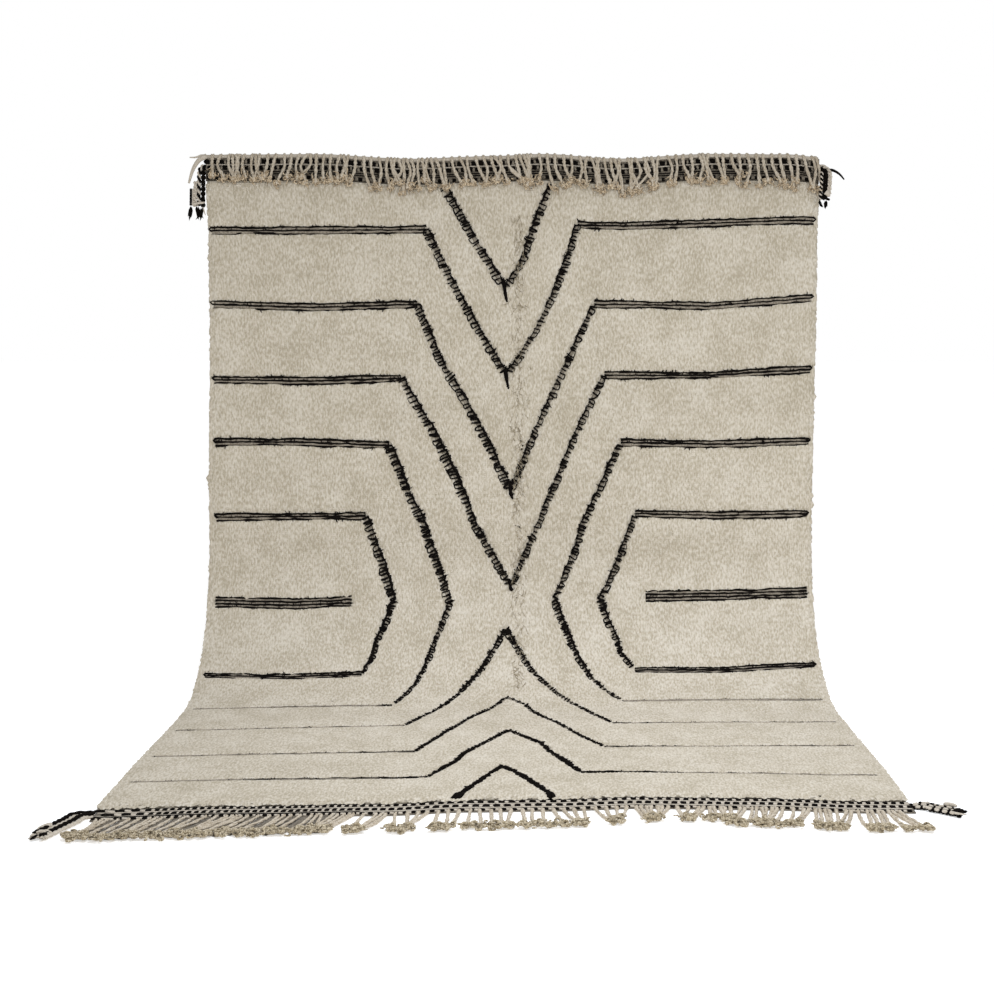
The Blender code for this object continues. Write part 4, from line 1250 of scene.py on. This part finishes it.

# %% [markdown]
# ### Bottom fringe
# These lie on the floor. Some are drawn together into clumps, and those at the left lie
# close together on a mat of old wool, dark as painted shade between them.

# %% Bottom fringe
rows = strands("floor", 12)
corner = np.array([[-0.990, -0.978], [0.145, 0.150], [-0.030, -0.034], [KNOT_HALF, KNOT_HALF]])
rows = np.concatenate([corner, rows], axis=1)
rows = doubled(rows, (rows[0] < -0.30) & (stray.uniform(0, 1, rows.shape[1]) < 0.45), 0.0128)
rows = doubled(rows, (rows[0] > 0.20) & (stray.uniform(0, 1, rows.shape[1]) < 0.5), 0.0110)
root, length, lean = rows[:3]
total = len(root)
tip = root + lean
for gather in GATHERS:
    pull = gather.share * (np.abs(root - gather.centre) < gather.reach)
    tip = tip + pull * (gather.centre + (lean * 0.6) - tip)
sway_off = stray.normal(0, 0.0045, total)
floor_stops = np.stack([spots(*stop) for stop in (
    (root, CLOTH_END - 0.008, 0.0050),
    (root, CLOTH_END + 0.003, 0.0054),
    (root + (tip - root) * 0.22 + sway_off * 0.5, CLOTH_END + length * 0.28, 0.0056),
    (root + (tip - root) * 0.62 + sway_off, CLOTH_END + length * 0.62, 0.0060),
    (root + (tip - root) * 0.90, CLOTH_END + length * 0.82, 0.0062),
    (tip, CLOTH_END + length * 0.90, 0.0062),
)], axis=1)
floor_paths, cord_work = cords(floor_stops, 15, 53, size=np.where(root < -0.30, 0.80, 0.95))
heading = np.arctan2(tip - root, length)
tangle = np.where(root < 0.14, 0.010, 0.0075)[:, None]
fray_tips = floor_paths[:, -1] + (0, -0.004, 0.005)
fray_work = joined([
    curls(fray_tips, np.repeat(tangle[:, 0], 10), 10, 63, size=0.0085, thick=0.0038),
    brush(fray_tips, heading, np.repeat(tangle, 5, axis=0), 5, 64, long=0.020, thick=0.0040)])
# On the left the cords lie on a mat of old wool, dark grey as painted shade, so no bright
# floor shows between them.
on_mat = floor_stops[root < MAT_END, :-1] * (1.0, 1.0, 0.0) + (0.0120, 0.0, 0.0018)
mat_work = tubes(curved(on_mat, 12), PLY_HINT, 0.0112, 0.0014, sides=6)
floor_fringe = [
    add_piece("bottom_fringe_cords", "warp_cord", (cord_work, CREAM_CORD), (mat_work, SHADED_YARN)),
    add_piece("bottom_fringe_frays", "warp_cord", (fray_work, FRAYED_WOOL_AND_FOLD_SHADE)),
]

# %% [markdown]
# ## The corner plaits
# The yarns of the twined rows leave the band at its corners as ropes of black and ivory
# wool. In some the two colours lie side by side, and some are black with an ivory bead at
# each turn. Each plait ends in a knot wound slantwise and a few loose tufts.

# %% The corner plaits
SEAT_GAP = 0.0003            # between a plait and its band
TAIL_THICK = 0.014           # of a plait once it is clear of the band
PARALLEL = 9.0               # a pitch so long that the two plies just lie side by side
BEADED = 0.017               # a black rope whose ivory ply shows as one bead a turn
BEAD_SHAPE = np.array([-0.062, -0.035, 0.035, 0.062])      # shares of the rope's length
Rope = namedtuple("Rope", "plies offset begin end half pitch")
Tail = namedtuple(
    "Tail", "name side start knee_across knee_down end_across end_down lift width ropes"
            " knot tuft tuft_places tuft_long winds")
TAILS = (
    Tail("tail_top_left", -1, 0.030, 1.010, 0.062, 1.014, 0.172, 0.006, 0.042, (
        Rope(("black", "black"), -0.34, 0.0, 0.92, 0.0058, 0.034),
        Rope(("ivory", "black"), -0.02, 0.0, 0.90, 0.0056, 0.026),
        Rope(("ivory", "ivory"), 0.26, 0.40, 0.90, 0.0056, 0.030),
        Rope(("black", "ivory"), 0.52, 0.55, 0.90, 0.0056, PARALLEL)),
        "ivory", "black", (-0.30, 0.10, 0.58), 0.042, 1.1),
    Tail("tail_top_right", 1, 0.030, 1.006, 0.046, 1.002, 0.145, 0.0255, 0.034, (
        Rope(("black", "black"), 0.02, 0.0, 0.86, 0.0072, 0.040),
        Rope(("ivory", "black"), -0.34, 0.15, 0.90, 0.0044, 0.014),
        Rope(("ivory", "ivory"), 0.42, 0.0, 0.72, 0.0064, 0.034)),
        "black", "black", (-0.40, 0.20), 0.026, 0.8),
    Tail("tail_bottom_left", -1, 2.890, 1.046, 2.935, 1.094, 3.065, 0.0, 0.044, (
        Rope(("black", "ivory"), 0.30, 0.0, 0.92, 0.0092, PARALLEL),
        Rope(("black", "ivory"), -0.32, 0.0, 0.97, 0.0096, PARALLEL)),
        "ivory", "ivory", (-0.35, 0.0, 0.35), 0.026, 1.6),
    Tail("tail_bottom_right", 1, 2.885, 1.050, 2.900, 1.118, 2.950, 0.0, 0.044, (
        Rope(("black", "black"), 0.38, 0.0, 0.90, 0.0060, BEADED),
        Rope(("black", "black"), 0.0, 0.0, 0.90, 0.0060, BEADED),
        Rope(("black", "black"), -0.38, 0.0, 0.90, 0.0060, BEADED)),
        "black", "black", (-0.45, 0.45), 0.014, 2.6),
)
TAIL_WOOLS = {"black": BLACK_YARN, "ivory": IVORY_YARN}
# Single yarns that leave the corners on their own: wool, height, half width, and the
# points across and down that each passes.
LOOSE_ENDS = {
    "tail_top_left": (
        ("ivory", 0.0080, 0.0042,
         ((-0.975, 0.002), (-1.000, -0.002), (-1.020, 0.004), (-1.040, 0.004))),
        ("ivory", 0.0090, 0.0085,
         ((-0.984, 0.000), (-1.010, 0.014), (-1.030, 0.044), (-1.044, 0.086))),
        ("ivory", 0.0120, 0.0030,
         ((-1.004, 0.150), (-1.000, 0.160), (-0.996, 0.174), (-0.992, 0.186)))),
    "tail_top_right": (
        ("black", 0.0200, 0.0052, ((1.012, 0.036), (1.030, 0.034), (1.052, 0.046), (1.068, 0.064))),
        ("ivory", 0.0400, 0.0098, ((1.006, 0.106), (1.011, 0.110), (1.015, 0.116), (1.016, 0.122)))),
    "tail_bottom_left": (
        ("ivory", 0.0095, 0.0100,
         ((-1.082, 2.985), (-1.094, 2.995), (-1.102, 3.010), (-1.104, 3.026))),
        ("black", 0.0080, 0.0055,
         ((-1.094, 3.056), (-1.098, 3.066), (-1.101, 3.073), (-1.102, 3.080)))),
    "tail_bottom_right": (
        ("ivory", 0.0125, 0.0085, ((1.086, 2.900), (1.096, 2.896), (1.106, 2.900), (1.112, 2.908))),
        ("ivory", 0.0125, 0.0036, ((1.092, 2.962), (1.100, 2.966), (1.108, 2.970), (1.114, 2.976)))),
}
print("ropes in the plaits:", [len(row.ropes) for row in TAILS])

# %% [markdown]
# ### The way of a plait
# A plait leaves the end of its band sideways, bends down at a knee and runs on to its tip.


# %% The way of a plait
def tail_route(row, count):
    """Centre line of a plait as if on the right side: out of the band, then round its knee."""
    half_band = BAND_HALF_TOP if row.start < FIELD_START else BAND_HALF_FLOOR
    start = np.array([half_band + SEAT_GAP, row.start])
    knee = np.array([row.knee_across, row.knee_down])
    corner = np.array([row.knee_across, row.start])
    end = np.array([row.end_across, row.end_down])
    turn = np.linspace(0, 1, 9)[:, None]
    elbow = (1 - turn) ** 2 * start + 2 * turn * (1 - turn) * corner + turn ** 2 * knee
    route = np.concatenate([elbow, knee + (end - knee) * np.linspace(0, 1, 17)[1:, None]])
    travelled = np.concatenate([[0], np.cumsum(lengths(np.diff(route, axis=0))[:, 0])])
    place = np.linspace(0, travelled[-1], count)
    return along_path(place, travelled, route)

# %% [markdown]
# ### Twist the plaits
# Each rope of a plait is two yarns wound round a path beside the plait's middle line. The
# knot and the tufts are added at the end.

# %% Twist the plaits
for number, row in enumerate(TAILS):
    generator = np.random.default_rng(90 + number)
    route = tail_route(row, 60)
    shares = np.linspace(0, 1, 60)
    ahead = np.gradient(route, axis=0)
    ahead /= lengths(ahead)
    outward = np.stack([ahead[:, 1], -ahead[:, 0]], axis=-1)
    grown = ease(shares * 4.0)
    middle = row.lift * grown + 0.5 * (0.0055 + (TAIL_THICK - 0.0055) * grown)
    spread = 0.55 + 0.45 * grown
    work = {"black": [], "ivory": []}
    for rope in row.ropes:
        at = np.linspace(rope.begin, rope.end, 54)
        place = route + outward * (rope.offset * row.width * spread)[:, None]
        place = along_path(at, shares, place)
        path = spots(row.side * place[:, 0], place[:, 1], np.interp(at, shares, middle))[None]
        bead = 1.0 + 0.20 * np.sin(np.arange(54) * 1.35 + generator.uniform(0, 6))
        flat = rope.pitch == PARALLEL
        phase = math.pi / 2 * row.side if flat else generator.uniform(0, 6)
        plies = twisted(
            path, (0, 0, 1), 0.0004 if flat else 0.0022, rope.half * 0.62, rope.pitch, phase)
        if rope.pitch == BEADED:
            steps = np.arange(0.10, 0.98, 1 / 6.2) * (rope.end - rope.begin) + rope.begin
            steps = steps[:, None] + generator.uniform(-0.02, 0.02) + BEAD_SHAPE
            beads = along_path(steps, at, path[0]) + (0.0, 0.0035, 0.0030)
            full = np.full((len(beads), 2), 0.0052)
            work["ivory"].append(spindles(beads, full, full * 0.8, sides=6))
        for wool_name, ply in zip(rope.plies, plies):
            full = rope.half * (0.74 if wool_name == "black" else 0.62) * bead
            if flat and wool_name == "black" and row.start > FIELD_START:
                # It lies a little on top, so it shows from the front.
                ply = ply + (0.0, 0.0, 0.0040)
            work[wool_name].append(tubes(ply, (0, 0, 1), 0.0040 * bead[None], full[None], sides=6))
    # The knot is a yarn wound slantwise round the ropes.
    wind = np.linspace(0, 1, 28)
    at = 0.84 + 0.035 * row.winds * wind
    centre = along_path(at, shares, route)
    turn = 2 * math.pi * row.winds * wind
    side_way = outward[-1] * (0.46 * row.width * np.cos(turn) * (1.0 - 0.25 * wind))[:, None]
    centre = centre + ahead[-1] * (0.004 * np.cos(turn))[:, None]
    centre = centre + side_way
    coil = spots(row.side * centre[:, 0], centre[:, 1], middle[-1] + 0.0056 * np.sin(turn))
    work[row.knot].append(tubes(coil[None], (0, 1, 0.2), 0.0042, 0.0040, sides=6))
    # A few separate tufts come out below it.
    way = math.atan2(row.side * ahead[-1, 0], ahead[-1, 1])
    for offset in row.tuft_places:
        place = route[int(0.91 * 60)] + outward[-1] * offset * row.width
        ends = np.array([[row.side * place[0], place[1], middle[-1]]])
        ends = ends + generator.normal(0, 0.0016, (5, 3))
        work[row.tuft].append(whiskers(
            ends, way + generator.normal(0, 0.06, 5) + 0.12 * generator.normal(),
            row.tuft_long * generator.uniform(0.7, 1.1, 5),
            generator.normal(0, 0.12, 5) + 0.3 * generator.normal(),
            generator.normal(0, 0.001, 5), generator.uniform(0.0036, 0.0050, 5)))
    for wool_name, height, half, points in LOOSE_ENDS[row.name]:
        path = curved([[(x, y, height) for x, y in points]], 12)
        taper = half * np.sqrt(np.clip(1.15 - np.linspace(0, 1, 12), 0.10, 1.0))
        work[wool_name].append(tubes(path, (0, 0, 1), taper[None] * 0.8, taper[None], sides=7))
    works = [(joined(parts), TAIL_WOOLS[wool_name]) for wool_name, parts in work.items() if parts]
    add_piece(row.name + "_ropes", "twined_wool", *works)
    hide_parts(row.name)

# %% [markdown]
# ## Floor and light
# The rug hangs in a white studio. A wide white sky lights it evenly, a large lamp above
# the part on the floor brightens that part most, and a long low one lights the bend. The
# floor glows a little, so that it stays as white as the paper of a cut-out picture.

# %% Floor and light
floor_mesh = bpy.data.meshes.new("floor")
reach = 40.0
floor_mesh.from_pydata(
    [(-reach, -reach, 0), (reach, -reach, 0), (reach, reach, 0), (-reach, reach, 0)], [], [(0, 1, 2, 3)])
floor = bpy.data.objects.new("studio_floor", floor_mesh)
floor.location.z = -HANG_HEIGHT
bpy.context.scene.collection.objects.link(floor)
paper = bpy.data.materials.new("matt_white_studio_paper")
paper.use_nodes = True
paper_shader = paper.node_tree.nodes["Principled BSDF"]
paper_shader.inputs["Base Color"].default_value = linear("#EDEDED")
paper_shader.inputs["Roughness"].default_value = 0.9
paper_shader.inputs["Emission Color"].default_value = linear("#FFFFFF")
paper_shader.inputs["Emission Strength"].default_value = 0.45
floor_mesh.materials.append(paper)

# The camera sees a pure white sky, which lights the rug at two thirds of that strength.
SKY_ON_RUG = 0.66
world = bpy.data.worlds.new("white_studio")
world.use_nodes = True
seen = add_node(world.node_tree, "ShaderNodeLightPath", {}).outputs["Is Camera Ray"]
strength = add_node(world.node_tree, "ShaderNodeMath", {
    0: seen, 1: 1.0 - SKY_ON_RUG, 2: SKY_ON_RUG}, operation="MULTIPLY_ADD")
sky = world.node_tree.nodes["Background"]
world.node_tree.links.new(strength.outputs[0], sky.inputs["Strength"])
sky.inputs["Color"].default_value = (1.0, 1.0, 1.0, 1.0)
bpy.context.scene.world = world


def soft_lamp(name, place, target, wide, deep, watts, colour, spread=180):
    """A large lamp that shines at a place and doesn't show itself."""
    made = bpy.data.objects.new(name, bpy.data.lights.new(name, "AREA"))
    made.data.shape = "RECTANGLE"
    made.data.size, made.data.size_y = wide, deep
    made.data.energy, made.data.color = watts, colour
    made.data.spread = math.radians(spread)
    made.location = place
    made.rotation_euler = (Vector(target) - Vector(place)).to_track_quat("-Z", "Y").to_euler()
    made.visible_camera = False
    bpy.context.scene.collection.objects.link(made)


soft_lamp(
    "overhead_lamp", place=(0.40, -1.85, 0.3), target=(0.40, -1.85, -1.7),
    wide=2.6, deep=1.2, watts=53.0, colour=(0.87, 0.92, 1.0))
soft_lamp(
    "bend_lamp", place=(0.35, -0.75, -0.55), target=(0.35, -0.38, -1.55),
    wide=2.4, deep=0.3, watts=3.0, colour=(0.82, 0.87, 1.0), spread=100)
bpy.context.scene.view_settings.view_transform = "Standard"
print("floor at", floor.location.z, "m; two soft lamps")
